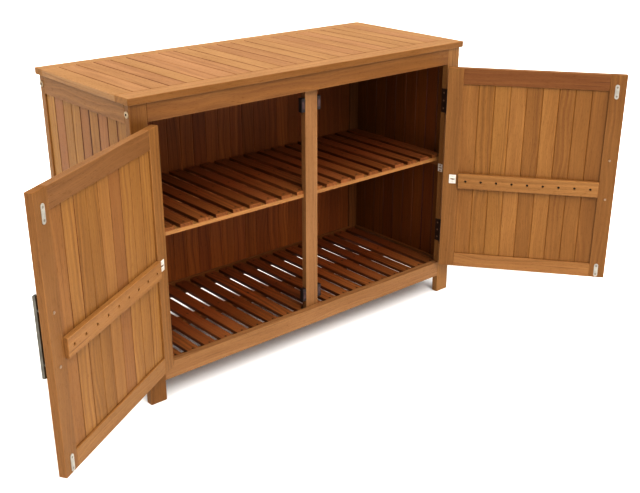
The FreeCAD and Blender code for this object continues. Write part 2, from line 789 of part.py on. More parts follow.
def build_leg_hinges():
    """Return the leg leaves, the pins and the leg screws of all four hinges."""
    face_x = LEG_INNER_X - LEAF_THICKNESS
    leaves = []
    pins = []
    for level in HINGE_LEVELS:
        leaves.append(hinge_leaf(level, face_x, LEG_INNER_X, LEG_KNUCKLES, face_x, X_AXIS))
        low = level - HINGE_LENGTH / 2
        pin = Part.makeCylinder(PIN_RADIUS, HINGE_LENGTH, Vector(AXIS_X, AXIS_Y, low))
        caps = []
        for bottom in (low - PIN_CAP_HEIGHT, low + HINGE_LENGTH):
            base = Vector(AXIS_X, AXIS_Y, bottom)
            caps.append(Part.makeCylinder(PIN_CAP_RADIUS, PIN_CAP_HEIGHT, base))
        pins.append(first_solid(pin.fuse(caps).removeSplitter()))
    screws = [placed(HINGE_SCREW_SHAPE, point, X_AXIS) for point in leaf_screw_points(face_x)]
    for point in leg_stay_screw_points():
        screws.append(placed(SHORT_SCREW_SHAPE, point, X_AXIS))
    return {
        "leg_hinge_leaves": both_sides(leaves),
        "hinge_pins": both_sides(pins),
        "leg_screws": both_sides(screws),
    }


def stay_plate(size):
    """Return a slotted plate lying on z = 0, its slot along x and its height along y."""
    width, height, thickness = size
    plate = box(-width / 2, width / 2, -height / 2, height / 2, 0, thickness)
    plate = soften(plate, STAY_CORNER_RADIUS, Z_AXIS)
    slot = box(
        -STAY_SLOT_LENGTH / 2,
        STAY_SLOT_LENGTH / 2,
        -STAY_SLOT_HEIGHT / 2,
        STAY_SLOT_HEIGHT / 2,
        -TOOL_OVERRUN,
        thickness + TOOL_OVERRUN,
    )
    tools = [slot]
    for step in (-0.5, 0.5):
        point = Vector(0, step * STAY_SCREW_SPACING, thickness)
        tools.append(placed(SHORT_HOLE_SHAPE, point, -Z_AXIS))
    return first_solid(cut_all(plate, tools))


def build_leg_stay_plates():
    """Return the slotted plates on the inner faces of the front legs."""
    plate = stay_plate(LEG_STAY_SIZE)
    plate.rotate(ORIGIN, X_AXIS, 90)
    plate.rotate(ORIGIN, Z_AXIS, -90)
    plate.translate(Vector(LEG_INNER_X, FRONT_Y + LEG_DEPTH / 2, LEG_STAY_LEVEL))
    return {"leg_stay_plates": both_sides([plate])}


def door_frame_blank(x0, x1, z0, z1):
    """Return a rounded frame member of the door."""
    return soften(box(x0, x1, FRONT_Y, DOOR_INNER_Y, z0, z1), DOOR_ROUNDING)


def panel_groove(x0, x1, z0, z1):
    """Return the cutting tool of the groove that holds the door boards."""
    return box(
        x0,
        x1,
        DOOR_BOARD_Y - GROOVE_PLAY,
        DOOR_BOARD_INNER_Y + GROOVE_PLAY,
        z0,
        z1,
    )


def handle_screw_points(y):
    """Return the handle screw axes of the right door on a plane across y."""
    x = DOOR_FREE_X + HANDLE_EDGE_DISTANCE
    points = []
    for step in (-0.5, 0.5):
        points.append(Vector(x, y, DOOR_MIDDLE + step * HANDLE_SCREW_SPACING))
    return points


def strike_screw_points():
    """Return the strike plate screw head centres of the right door."""
    x = (POST_WIDTH + CATCH_WIDTH) / 2
    points = []
    for level in STRIKE_LEVELS:
        for step in (-0.5, 0.5):
            z = level + step * STRIKE_SCREW_SPACING
            points.append(Vector(x, DOOR_INNER_Y + STRIKE_THICKNESS, z))
    return points


def door_stay_screw_points():
    """Return the stay plate screw head centres of the right door."""
    x = DOOR_HINGE_X - DOOR_STAY_EDGE_DISTANCE
    y = DOOR_INNER_Y + DOOR_STAY_SIZE[2]
    points = []
    for step in (-0.5, 0.5):
        points.append(Vector(x, y, DOOR_STAY_LEVEL + step * STAY_SCREW_SPACING))
    return points


def batten_screw_points():
    """Return the batten screw head centres, one on the middle of each board."""
    pitch = (DOOR_HINGE_X - DOOR_FREE_X - 2 * STILE_WIDTH) / DOOR_BOARD_COUNT
    y = DOOR_INNER_Y + BATTEN_PROUD - BATTEN_POCKET_DEPTH
    points = []
    for index in range(DOOR_BOARD_COUNT):
        x = DOOR_FREE_X + STILE_WIDTH + (index + 0.5) * pitch
        points.append(Vector(x, y, BATTEN_BOTTOM + BATTEN_HEIGHT / 2))
    return points


def build_door_frame():
    """Return the closed right door's stiles and rails."""
    inner_hinge_x = DOOR_HINGE_X - STILE_WIDTH
    inner_free_x = DOOR_FREE_X + STILE_WIDTH
    boards_low = DOOR_BOTTOM + DOOR_BOTTOM_RAIL_HEIGHT
    boards_high = DOOR_TOP - DOOR_TOP_RAIL_HEIGHT
    depth = DOOR_GROOVE_DEPTH + GROOVE_END_PLAY
    groove_low = boards_low - DOOR_GROOVE_DEPTH
    groove_high = boards_high + depth

    hinge_stile = door_frame_blank(inner_hinge_x, DOOR_HINGE_X, DOOR_BOTTOM, DOOR_TOP)
    tools = [panel_groove(inner_hinge_x - TOOL_OVERRUN, inner_hinge_x + depth, groove_low, groove_high)]
    for point in leaf_screw_points(DOOR_HINGE_X + LEAF_THICKNESS):
        tools.append(placed(HINGE_HOLE_SHAPE, point, -X_AXIS))
    for point in door_stay_screw_points():
        tools.append(placed(SHORT_HOLE_SHAPE, point, -Y_AXIS))
    hinge_stile = first_solid(cut_all(hinge_stile, tools))

    free_stile = door_frame_blank(DOOR_FREE_X, inner_free_x, DOOR_BOTTOM, DOOR_TOP)
    tools = [panel_groove(inner_free_x - depth, inner_free_x + TOOL_OVERRUN, groove_low, groove_high)]
    for point in strike_screw_points():
        tools.append(placed(SHORT_HOLE_SHAPE, point, -Y_AXIS))
    hole_radius = HANDLE_SCREW_RADIUS + SCREW_CLEARANCE
    for point in handle_screw_points(FRONT_Y - TOOL_OVERRUN):
        tools.append(
            Part.makeCylinder(hole_radius, DOOR_THICKNESS + 2 * TOOL_OVERRUN, point, Y_AXIS)
        )
    free_stile = first_solid(cut_all(free_stile, tools))

    bottom_rail = door_frame_blank(inner_free_x, inner_hinge_x, DOOR_BOTTOM, boards_low)
    groove = panel_groove(0, LEG_INNER_X, groove_low, boards_low + TOOL_OVERRUN)
    bottom_rail = first_solid(bottom_rail.cut(groove))

    top_rail = door_frame_blank(inner_free_x, inner_hinge_x, boards_high, DOOR_TOP)
    groove = panel_groove(0, LEG_INNER_X, boards_high - TOOL_OVERRUN, groove_high)
    top_rail = first_solid(top_rail.cut(groove))
    return {
        "hinge_stile": [hinge_stile],
        "free_stile": [free_stile],
        "bottom_rail": [bottom_rail],
        "top_rail": [top_rail],
    }


def build_door_panel():
    """Return the closed right door's boards and the batten screwed across them."""
    span = DOOR_HINGE_X - DOOR_FREE_X - 2 * STILE_WIDTH
    low = DOOR_BOTTOM + DOOR_BOTTOM_RAIL_HEIGHT - DOOR_GROOVE_DEPTH
    high = DOOR_TOP - DOOR_TOP_RAIL_HEIGHT + DOOR_GROOVE_DEPTH
    boards = boarding(
        DOOR_BOARD_COUNT,
        span,
        DOOR_BOARD_THICKNESS,
        Vector(DOOR_FREE_X + STILE_WIDTH, DOOR_BOARD_Y, low),
        X_AXIS,
        Y_AXIS,
        Vector(0, 0, high - low),
        DOOR_GROOVE_DEPTH,
    )
    holes = [placed(SHORT_HOLE_SHAPE, point, -Y_AXIS) for point in batten_screw_points()]
    boards = [first_solid(board.cut(hole)) for board, hole in zip(boards, holes)]
    batten = box(
        DOOR_FREE_X + STILE_WIDTH,
        DOOR_HINGE_X - STILE_WIDTH,
        DOOR_BOARD_INNER_Y,
        DOOR_INNER_Y + BATTEN_PROUD,
        BATTEN_BOTTOM,
        BATTEN_BOTTOM + BATTEN_HEIGHT,
    )
    batten = soften(batten, DOOR_ROUNDING)
    tools = list(holes)
    for point in batten_screw_points():
        depth = BATTEN_POCKET_DEPTH + TOOL_OVERRUN
        tools.append(Part.makeCylinder(BATTEN_POCKET_RADIUS, depth, point, Y_AXIS))
    batten = first_solid(cut_all(batten, tools))
    return {"boards": boards, "batten": [batten]}


def build_handle():
    """Return the closed right door's bar handle and its screws."""
    x = DOOR_FREE_X + HANDLE_EDGE_DISTANCE
    bar_back = FRONT_Y - HANDLE_STANDOFF
    bar = box(
        x - HANDLE_WIDTH / 2,
        x + HANDLE_WIDTH / 2,
        bar_back - HANDLE_THICKNESS,
        bar_back,
        DOOR_MIDDLE - HANDLE_LENGTH / 2,
        DOOR_MIDDLE + HANDLE_LENGTH / 2,
    )
    bar = soften(bar, HANDLE_ROUNDING)
    posts = []
    holes = []
    screws = []
    for point in handle_screw_points(bar_back - HANDLE_THICKNESS / 2):
        length = HANDLE_STANDOFF + HANDLE_THICKNESS / 2
        posts.append(Part.makeCylinder(HANDLE_POST_RADIUS, length, point, Y_AXIS))
    handle = bar.fuse(posts).removeSplitter()
    for point in handle_screw_points(FRONT_Y + TOOL_OVERRUN):
        depth = HANDLE_SCREW_BITE + 2 * TOOL_OVERRUN
        radius = HANDLE_SCREW_RADIUS + SCREW_CLEARANCE
        holes.append(Part.makeCylinder(radius, depth, point, -Y_AXIS))
    handle = first_solid(cut_all(handle, holes))
    for point in handle_screw_points(DOOR_INNER_Y):
        screws.append(placed(handle_screw(), point, -Y_AXIS))
    return {"handle": [handle], "handle_screws": screws}


def handle_screw():
    """Return a pan head screw with its head under z = 0 and its point up +Z."""
    base = Vector(0, 0, -HANDLE_SCREW_HEAD_HEIGHT)
    head = Part.makeCylinder(HANDLE_SCREW_HEAD_RADIUS, HANDLE_SCREW_HEAD_HEIGHT, base)
    rim = [edge for edge in head.Edges if edge.BoundBox.ZMax < -HANDLE_SCREW_HEAD_HEIGHT / 2]
    head = head.makeFillet(HANDLE_ROUNDING, rim[:1])
    shank = Part.makeCylinder(HANDLE_SCREW_RADIUS, DOOR_THICKNESS + HANDLE_SCREW_BITE)
    socket = hexagon_prism(SOCKET_ACROSS_FLATS, SOCKET_DEPTH)
    socket.translate(base)
    return first_solid(head.fuse(shank).removeSplitter().cut(socket))


def build_door_hardware():
    """Return the closed right door's plates, hinge leaves and wood screws."""
    strike_x = (POST_WIDTH + CATCH_WIDTH) / 2
    radius = STRIKE_WIDTH / 2
    reach = STRIKE_HEIGHT / 2 - radius
    strikes = []
    screw_tools = []
    for point in strike_screw_points():
        screw_tools.append(placed(SHORT_HOLE_SHAPE, point, -Y_AXIS))
    for level in STRIKE_LEVELS:
        plate = box(
            strike_x - radius,
            strike_x + radius,
            DOOR_INNER_Y,
            DOOR_INNER_Y + STRIKE_THICKNESS,
            level - reach,
            level + reach,
        )
        ends = []
        for z in (level - reach, level + reach):
            base = Vector(strike_x, DOOR_INNER_Y, z)
            ends.append(Part.makeCylinder(radius, STRIKE_THICKNESS, base, Y_AXIS))
        plate = plate.fuse(ends).removeSplitter()
        strikes.append(first_solid(cut_all(plate, screw_tools)))

    stay = stay_plate(DOOR_STAY_SIZE)
    stay.rotate(ORIGIN, X_AXIS, -90)
    stay.translate(Vector(DOOR_HINGE_X - DOOR_STAY_EDGE_DISTANCE, DOOR_INNER_Y, DOOR_STAY_LEVEL))

    face_x = DOOR_HINGE_X + LEAF_THICKNESS
    leaves = []
    for level in HINGE_LEVELS:
        leaves.append(hinge_leaf(level, DOOR_HINGE_X, face_x, DOOR_KNUCKLES, face_x, -X_AXIS))

    screws = [placed(HINGE_SCREW_SHAPE, point, -X_AXIS) for point in leaf_screw_points(face_x)]
    for point in strike_screw_points() + door_stay_screw_points() + batten_screw_points():
        screws.append(placed(SHORT_SCREW_SHAPE, point, -Y_AXIS))
    return {
        "strike_plates": strikes,
        "stay_plate": [stay],
        "hinge_leaves": leaves,
        "screws": screws,
    }


def build_doors():
    """Return both doors, turned about their hinges to the angles at which they stand."""
    closed = {}
    closed.update(build_door_frame())
    closed.update(build_door_panel())
    closed.update(build_handle())
    closed.update(build_door_hardware())
    nodes = {}
    for name, shapes in closed.items():
        turned = []
        for shape in shapes:
            copy = shape.copy()
            copy.rotate(Vector(AXIS_X, AXIS_Y, 0), Z_AXIS, RIGHT_DOOR_OPEN_DEG)
            turned.append(copy)
        nodes["right_door_" + name] = turned
        turned = []
        for shape in mirrored_all(shapes):
            shape.rotate(Vector(-AXIS_X, AXIS_Y, 0), Z_AXIS, -LEFT_DOOR_OPEN_DEG)
            turned.append(shape)
        nodes["left_door_" + name] = turned
    return nodes


def main():
    """Build every node and write one STEP file for each."""
    os.makedirs("parts", exist_ok=True)
    nodes = {}
    nodes.update(build_legs())
    nodes.update(build_rails())
    nodes.update(build_walls())
    nodes.update(build_post())
    nodes.update(build_worktop())
    nodes.update(build_bottom())
    nodes.update(build_shelf())
    nodes.update(build_slat_screws())
    nodes.update(build_catches())
    nodes.update(build_frame_bolts())
    nodes.update(build_leg_hinges())
    nodes.update(build_leg_stay_plates())
    nodes.update(build_doors())
    for name, solids in nodes.items():
        shape = solids[0] if len(solids) == 1 else Part.makeCompound(solids)
        shape.exportStep("parts/" + name + ".step")
        print(name, len(solids), "solids", round(shape.Volume / 1000), "cm3")


main()
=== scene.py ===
"""Garden storage cabinet of oiled hardwood, with both doors open.

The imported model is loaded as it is. This script gives each of its nodes a finish, and sets the
cabinet on a pale studio floor under soft light, seen from its front left corner.
"""

import logging
import math
from dataclasses import dataclass, field
from enum import Enum

import bmesh
import bpy
from mathutils import Matrix, Vector

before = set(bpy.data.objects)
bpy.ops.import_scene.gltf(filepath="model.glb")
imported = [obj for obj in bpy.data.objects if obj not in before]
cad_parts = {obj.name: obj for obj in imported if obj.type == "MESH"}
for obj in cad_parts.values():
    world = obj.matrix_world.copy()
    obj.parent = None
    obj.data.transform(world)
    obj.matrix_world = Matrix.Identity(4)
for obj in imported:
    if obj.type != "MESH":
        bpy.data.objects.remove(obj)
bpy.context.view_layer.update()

LOG = logging.getLogger("garden_storage_cabinet")
MM = 0.001


def linear(hex_colour: str) -> tuple[float, float, float, float]:
    """Turn an sRGB hex colour into the linear colour that the shaders take.

    Args:
        hex_colour: Six hex digits after a hash sign.

    Returns:
        Red, green and blue as linear shares, and an alpha of 1.
    """
    shares = [int(hex_colour[at : at + 2], 16) / 255 for at in (1, 3, 5)]
    lit = [s / 12.92 if s <= 0.04045 else ((s + 0.055) / 1.055) ** 2.4 for s in shares]
    return (lit[0], lit[1], lit[2], 1.0)


def add(
    tree: bpy.types.NodeTree,
    kind: str,
    inputs: dict[str | int, object],
    out: str | int = 0,
    **settings: object,
) -> bpy.types.NodeSocket | None:
    """Add a node with its settings and links.

    Args:
        tree: The node tree that gets the node.
        kind: The node's type name.
        inputs: What goes into each input, by name or number: another node's output or a value.
        out: The output that is handed back.
        **settings: The node's own properties.

    Returns:
        The chosen output, or None for a node without outputs.
    """
    node = tree.nodes.new(kind)
    for name, value in settings.items():
        setattr(node, name, value)
    for key, value in inputs.items():
        if isinstance(value, bpy.types.NodeSocket):
            tree.links.new(value, node.inputs[key])
        else:
            node.inputs[key].default_value = value
    return node.outputs[out] if node.outputs else None


def new_material(name: str) -> tuple[bpy.types.Material, bpy.types.NodeTree]:
    """Make an empty node material.

    Args:
        name: The material's name.

    Returns:
        The material and its node tree.
    """
    material = bpy.data.materials.new(name)
    material.use_nodes = True
    material.node_tree.nodes.clear()
    return material, material.node_tree


def dress(node: str, material: bpy.types.Material) -> None:
    """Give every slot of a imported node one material.

    Args:
        node: The node's name.
        material: Its finish.
    """
    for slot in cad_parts[node].material_slots:
        slot.material = material
    LOG.info("%s: %s", node, material.name)


class Axis(Enum):
    """An axis of the cabinet with its doors shut."""

    X = 0
    Y = 1
    Z = 2


@dataclass(frozen=True)
class Swing:
    """How a door stands: its hinge axis in metres and its turn from shut in degrees."""

    x: float = 0.0
    y: float = 0.0
    degrees: float = 0.0

    def shut(self, point: Vector) -> Vector:
        """Return where a point of the door is when the door is shut."""
        centre = Vector((self.x, self.y, 0.0))
        return Matrix.Rotation(math.radians(-self.degrees), 3, "Z") @ (point - centre) + centre


NOT_TURNED = Swing()
# The inside of the cabinet in metres. It ends at the middle planes of the boarded walls, the backs
# of the front legs and the worktop's underside, and below the bottom slats.
INTERIOR = ((-0.582, -0.2115, 0.05), (0.582, 0.224, 0.833))


@dataclass(frozen=True)
class Plank:
    """How the pieces of one node lie in it and what planks they were cut from.

    along is the direction of the grain and across that of a piece's width. A node of pieces side
    by side holds count of them. They have a width of their own where there is a gap between them.
    housed is how far their ends and the sides of the outer two run into a groove. rosy and brown
    name the pieces of pinkish and of dark heartwood, counted from the low end. tone is above 1 for
    a lighter plank, and edge and end are how much darker its long edges and its ends are. seed is
    the number of the first piece's random draw. Sizes are in millimetres.
    """

    along: Axis
    across: Axis
    count: int = 1
    width: float = 0.0
    housed: float = 0.0
    rosy: tuple[int, ...] = ()
    brown: tuple[int, ...] = ()
    tone: float = 1.0
    edge: float = 0.0
    end: float = 0.14
    seed: float = 0.0


@dataclass(frozen=True)
class Mark:
    """One kind of mark in the grain: its size and the noise that draws it.

    detail is how many finer layers the noise has, and span gives its values for none of the mark
    and for all of it.
    """

    along_mm: float
    across_mm: float
    detail: float
    span: tuple[float, float]


# Real fibres, pores and gum veins are 0.05 to 0.5 mm wide. They are drawn as coarse as they have to
# be to show.
GRAIN = {
    "fibre": Mark(110.0, 1.4, 2.0, (0.0, 1.0)),
    "cloud": Mark(330.0, 40.0, 2.0, (0.25, 0.75)),
    "fade": Mark(420.0, 16.0, 1.0, (0.3, 0.7)),
    "pore": Mark(16.0, 1.0, 1.0, (0.6, 0.72)),
    "vein": Mark(240.0, 6.4, 0.0, (0.76, 0.84)),
}
GRAIN_ROUGHNESS = 0.6
# Each piece shows another stretch of the grain, up to so many metres away along and across it.
LOT_SHIFT = (9.0, 3.0, 3.0)
# The heart lies 170 to 70 mm beside the middle of a piece and 30 to 130 mm under it, and wanders by
# up to 50 mm along it, at three slow waves to the metre.
HEART_PLACE = (0.0, -0.17, -0.03)
HEART_SPREAD = (0.0, 0.10, -0.10)
HEART_WANDER = (0.0, 0.05, 0.05)
WANDER_WAVES = (3.0, 0.0, 0.0)
# Streaks go from deep at 0 over warm in the middle to pale at 1, and fade to a third of that.
STREAK_NOISE = {"Scale": 1.0, "Detail": 3.0, "Roughness": 0.55}
STREAK_SPAN = (0.28, 0.72)
STREAK_MIDDLE = 0.5
STREAK_FAINTEST = 0.35
# How far below the surface the wear of an arris begins and is full, and half the width over which
# any other border fades
ARRIS_MM = (-2.5, -0.2)
BORDER_FADE_MM = 0.5
# Two piece numbers that are nearer than this are the same.
HALF_STEP = 0.5


@dataclass(frozen=True)
class OiledHardwood:
    """Eucalyptus, planed, sanded and oiled.

    The oil gives a low satin sheen and deepens the darker streaks, so each piece reads as its
    own. The figure is drawn from the distance to a heart that lies to one side of the piece,
    which makes straight stripes on its faces and ring arcs on its ends, as in solid wood.

    contrast is how far the streaks go to deep and pale, spread how much the pieces differ in
    tone and rosiness how far the pinkest of those above rosy_from go to rose. rosy_share,
    brown_share and vein_share are how far a rosy piece, a brown piece and a gum vein go to their
    colour. A shade is the factor for none and for all of its mark, and dust_and_shade is the least
    and the most of the darkening in a groove, from dust and from painted shade. reddening is how
    fast red, green and blue get lost in the dark, painted_shade_tint the painted shade inside the
    cabinet, which makes the wood there darker and redder, painted_shade_ramp_mm how far in from
    the open front that painted shade grows to its full depth, and worn how pale the arrises get.
    """

    name: str
    pale: str = "#A37847"
    warm: str = "#8B6437"
    deep: str = "#6A421D"
    rose: str = "#85553A"
    streak_mm: float = 7.0
    contrast: float = 0.42
    seam_mm: float = 1.0
    spread: float = 0.2
    rosiness: float = 0.35
    painted_shade_ramp_mm: float = 60.0
    painted_shade_tint: tuple[float, float, float] = (0.92, 0.73, 0.56)
    rosy_from: float = 0.45
    rosy_share: float = 0.42
    brown_share: float = 0.4
    vein_share: float = 0.6
    fibre_shade: tuple[float, float] = (0.76, 1.24)
    cloud_shade: tuple[float, float] = (0.88, 1.12)
    pore_shade: tuple[float, float] = (1.0, 0.68)
    dust_and_shade: tuple[float, float] = (0.4, 1.2)
    reddening: tuple[float, float, float] = (0.85, 1.1, 1.6)
    worn: float = 0.45
    roughness: float = 0.5
    fibre_roughness: float = 0.08
    pore_roughness: float = 0.15
    end_roughness: float = 0.2
    streak_height: float = 0.4
    relief: float = 0.6
    bump_mm: float = 0.15
    ior: float = 1.5
    gloss: float = 0.3

    def figure(self) -> bpy.types.NodeTree:
        """Return the node group that draws this wood, made at its first use."""
        if self.name in bpy.data.node_groups:
            return bpy.data.node_groups[self.name]
        tree = bpy.data.node_groups.new(self.name, "ShaderNodeTree")
        numbers = ("Number", "Rosy", "Brown", "Tone", "Seam", "End", "PaintedInteriorShade")
        sockets = {
            "INPUT": {"Inside": "Vector", "Half": "Vector"} | dict.fromkeys(numbers, "Float"),
            "OUTPUT": {"Colour": "Color", "Roughness": "Float", "Height": "Float"},
        }
        for way, names in sockets.items():
            for label, kind in names.items():
                tree.interface.new_socket(
                    name=label, in_out=way, socket_type="NodeSocket" + kind
                )
        given = add(tree, "NodeGroupInput", {}).node.outputs
        dice = add(
            tree, "ShaderNodeTexWhiteNoise", {"W": given["Number"]}, "Color", noise_dimensions="1D"
        )
        chance = add(tree, "ShaderNodeSeparateXYZ", {0: dice}).node.outputs
        marks = self._grain(tree, given["Inside"], dice)
        marks |= self._borders(tree, given["Inside"], given["Half"])
        colour = self._colour(tree, marks, chance["Z"], given)
        shade = self._shade(tree, marks, chance, given)
        # Where oiled wood gets darker it gets redder too.
        shade = add(
            tree,
            "ShaderNodeVectorMath",
            {0: shade, 1: self.reddening, 2: [1 - rate for rate in self.reddening]},
            operation="MULTIPLY_ADD",
        )
        shade = add(
            tree, "ShaderNodeVectorMath", {0: shade, 1: (0.0, 0.0, 0.0)}, operation="MAXIMUM"
        )
        colour = add(tree, "ShaderNodeVectorMath", {0: colour, 1: shade}, operation="MULTIPLY")
        # Handling rubs the oil off the arrises, which leaves them a little paler in places.
        worn = add(
            tree, "ShaderNodeMath", {0: marks["arris"], 1: marks["cloud"]}, operation="MULTIPLY"
        )
        worn = add(tree, "ShaderNodeMath", {0: worn, 1: self.worn}, operation="MULTIPLY")
        colour = add(
            tree, "ShaderNodeMix", {0: worn, 6: colour, 7: linear(self.pale)}, 2, data_type="RGBA"
        )
        # Painted shade: inside the cabinet the wood gets a darker, redder tint that stands in for
        # the shade there.
        red = add(
            tree, "ShaderNodeVectorMath", {0: colour, 1: self.painted_shade_tint}, operation="MULTIPLY"
        )
        colour = add(
            tree, "ShaderNodeMix", {0: given["PaintedInteriorShade"], 6: colour, 7: red}, 2, data_type="RGBA"
        )
        rough = add(
            tree,
            "ShaderNodeMapRange",
            {
                "Value": marks["fibre"],
                "To Min": self.roughness - self.fibre_roughness,
                "To Max": self.roughness + self.fibre_roughness,
            },
        )
        for mark, more in (("pore", self.pore_roughness), ("end", self.end_roughness)):
            rough = add(
                tree,
                "ShaderNodeMath",
                {0: marks[mark], 1: more, 2: rough},
                operation="MULTIPLY_ADD",
            )
        # Hard streaks and fibres stand a little proud of the sanded face, and pores are sunk.
        height = add(
            tree,
            "ShaderNodeMath",
            {0: marks["streak"], 1: self.streak_height, 2: marks["fibre"]},
            operation="MULTIPLY_ADD",
        )
        height = add(tree, "ShaderNodeMath", {0: height, 1: marks["pore"]}, operation="SUBTRACT")
        add(tree, "NodeGroupOutput", {"Colour": colour, "Roughness": rough, "Height": height})
        return tree

    def _grain(
        self, tree: bpy.types.NodeTree, inside: bpy.types.NodeSocket, dice: bpy.types.NodeSocket
    ) -> dict[str, bpy.types.NodeSocket]:
        """Draw streaks, fibres, clouds, pores and veins.

        Args:
            tree: The figure's node tree.
            inside: The place inside the piece, in metres: along, across and through it.
            dice: Three random numbers of the piece.

        Returns:
            The value of each kind of mark.
        """
        moved = add(tree, "ShaderNodeVectorMath", {0: dice, 1: LOT_SHIFT}, operation="MULTIPLY")
        sample = add(tree, "ShaderNodeVectorMath", {0: inside, 1: moved}, operation="ADD")
        slow = add(tree, "ShaderNodeVectorMath", {0: sample, 1: WANDER_WAVES}, operation="MULTIPLY")
        slow = add(
            tree, "ShaderNodeTexNoise", {"Vector": slow, "Scale": 1.0, "Detail": 2.0}, "Color"
        )
        heart = HEART_PLACE
        for draw, reach in ((dice, HEART_SPREAD), (slow, HEART_WANDER)):
            heart = add(
                tree,
                "ShaderNodeVectorMath",
                {0: draw, 1: reach, 2: heart},
                operation="MULTIPLY_ADD",
            )
        # Each ring is as far from the heart all along the piece, so only the distance across
        # and through it counts.
        out = add(tree, "ShaderNodeVectorMath", {0: inside, 1: heart}, operation="SUBTRACT")
        out = add(tree, "ShaderNodeVectorMath", {0: out, 1: (0.0, 1.0, 1.0)}, operation="MULTIPLY")
        ring = add(tree, "ShaderNodeVectorMath", {0: out}, "Value", operation="LENGTH")
        streaks = 1 / (self.streak_mm * MM)
        ring = add(tree, "ShaderNodeMath", {0: ring, 1: streaks}, operation="MULTIPLY")
        ring = add(tree, "ShaderNodeMath", {0: ring, 1: dice}, operation="ADD")
        streak = add(
            tree, "ShaderNodeTexNoise", {"W": ring} | STREAK_NOISE, noise_dimensions="1D"
        )
        low, high = STREAK_SPAN
        streak = add(
            tree, "ShaderNodeMapRange", {"Value": streak, "From Min": low, "From Max": high}
        )
        marks = {}
        for name, mark in GRAIN.items():
            sizes = (mark.along_mm, mark.across_mm, mark.across_mm)
            place = add(
                tree,
                "ShaderNodeVectorMath",
                {0: sample, 1: [1 / (size * MM) for size in sizes]},
                operation="MULTIPLY",
            )
            noise = add(
                tree,
                "ShaderNodeTexNoise",
                {
                    "Vector": place,
                    "Scale": 1.0,
                    "Detail": mark.detail,
                    "Roughness": GRAIN_ROUGHNESS,
                },
            )
            low, high = mark.span
            marks[name] = add(
                tree, "ShaderNodeMapRange", {"Value": noise, "From Min": low, "From Max": high}
            )
        # A streak runs out along the piece and comes back.
        faint = add(
            tree, "ShaderNodeMapRange", {"Value": marks["fade"], "To Min": STREAK_FAINTEST}
        )
        away = add(
            tree, "ShaderNodeMath", {0: streak, 1: STREAK_MIDDLE}, operation="SUBTRACT"
        )
        marks["streak"] = add(
            tree, "ShaderNodeMath", {0: away, 1: faint, 2: STREAK_MIDDLE}, operation="MULTIPLY_ADD"
        )
        return marks

    def _borders(
        self, tree: bpy.types.NodeTree, inside: bpy.types.NodeSocket, half: bpy.types.NodeSocket
    ) -> dict[str, bpy.types.NodeSocket]:
        """Find the piece's long borders, its ends and its arrises.

        Args:
            tree: The figure's node tree.
            inside: The place inside the piece.
            half: Half the piece's size.

        Returns:
            How near the place is to a long border, to an end and to an arris, from 0 to 1.
        """
        depth = add(tree, "ShaderNodeVectorMath", {0: inside}, operation="ABSOLUTE")
        depth = add(tree, "ShaderNodeVectorMath", {0: depth, 1: half}, operation="SUBTRACT")
        sides = add(tree, "ShaderNodeSeparateXYZ", {0: depth}).node.outputs
        high, low = sides["X"], sides["X"]
        for side in ("Y", "Z"):
            high = add(tree, "ShaderNodeMath", {0: high, 1: sides[side]}, operation="MAXIMUM")
            low = add(tree, "ShaderNodeMath", {0: low, 1: sides[side]}, operation="MINIMUM")
        total = add(
            tree,
            "ShaderNodeVectorMath",
            {0: depth, 1: (1.0, 1.0, 1.0)},
            "Value",
            operation="DOT_PRODUCT",
        )
        # What is neither the deepest nor the shallowest depth is small only at an arris.
        middle = add(tree, "ShaderNodeMath", {0: total, 1: high}, operation="SUBTRACT")
        middle = add(tree, "ShaderNodeMath", {0: middle, 1: low}, operation="SUBTRACT")
        seam = (-self.seam_mm - BORDER_FADE_MM, -self.seam_mm + BORDER_FADE_MM)
        return {
            mark: add(
                tree,
                "ShaderNodeMapRange",
                {"Value": value, "From Min": start * MM, "From Max": stop * MM},
                interpolation_type="SMOOTHSTEP",
            )
            for mark, value, (start, stop) in (
                ("seam", sides["Y"], seam),
                ("end", sides["X"], seam),
                ("arris", middle, ARRIS_MM),
            )
        }

    def _colour(
        self,
        tree: bpy.types.NodeTree,
        marks: dict[str, bpy.types.NodeSocket],
        chance: bpy.types.NodeSocket,
        given: bpy.types.bpy_prop_collection,
    ) -> bpy.types.NodeSocket:
        """Colour the streaks from deep over warm to pale, and turn some pieces to rose or brown.

        Args:
            tree: The figure's node tree.
            marks: The value of each kind of mark.
            chance: A random number of the piece.
            given: The group's own inputs.

        Returns:
            The colour.
        """
        colour = linear(self.warm)
        for limit, hue in ((0.0, self.deep), (1.0, self.pale)):
            share = add(
                tree,
                "ShaderNodeMapRange",
                {
                    "Value": marks["streak"],
                    "From Min": STREAK_MIDDLE,
                    "From Max": limit,
                    "To Max": self.contrast,
                },
            )
            colour = add(
                tree, "ShaderNodeMix", {0: share, 6: colour, 7: linear(hue)}, 2, data_type="RGBA"
            )
        turn = add(
            tree,
            "ShaderNodeMapRange",
            {"Value": chance, "From Min": self.rosy_from, "To Max": self.rosiness},
        )
        turn = add(
            tree,
            "ShaderNodeMath",
            {0: given["Rosy"], 1: self.rosy_share, 2: turn},
            operation="MULTIPLY_ADD",
        )
        dark = add(
            tree, "ShaderNodeMath", {0: given["Brown"], 1: self.brown_share}, operation="MULTIPLY"
        )
        vein = add(
            tree, "ShaderNodeMath", {0: marks["vein"], 1: self.vein_share}, operation="MULTIPLY"
        )
        for share, hue in ((turn, self.rose), (dark, self.deep), (vein, self.deep)):
            colour = add(
                tree, "ShaderNodeMix", {0: share, 6: colour, 7: linear(hue)}, 2, data_type="RGBA"
            )
        return colour

    def _shade(
        self,
        tree: bpy.types.NodeTree,
        marks: dict[str, bpy.types.NodeSocket],
        chance: bpy.types.bpy_prop_collection,
        given: bpy.types.bpy_prop_collection,
    ) -> bpy.types.NodeSocket:
        """Work out how much lighter or darker a place is than its colour.

        Args:
            tree: The figure's node tree.
            marks: The value of each kind of mark.
            chance: The piece's three random numbers, as X, Y and Z.
            given: The group's own inputs.

        Returns:
            The factor for the colour.
        """
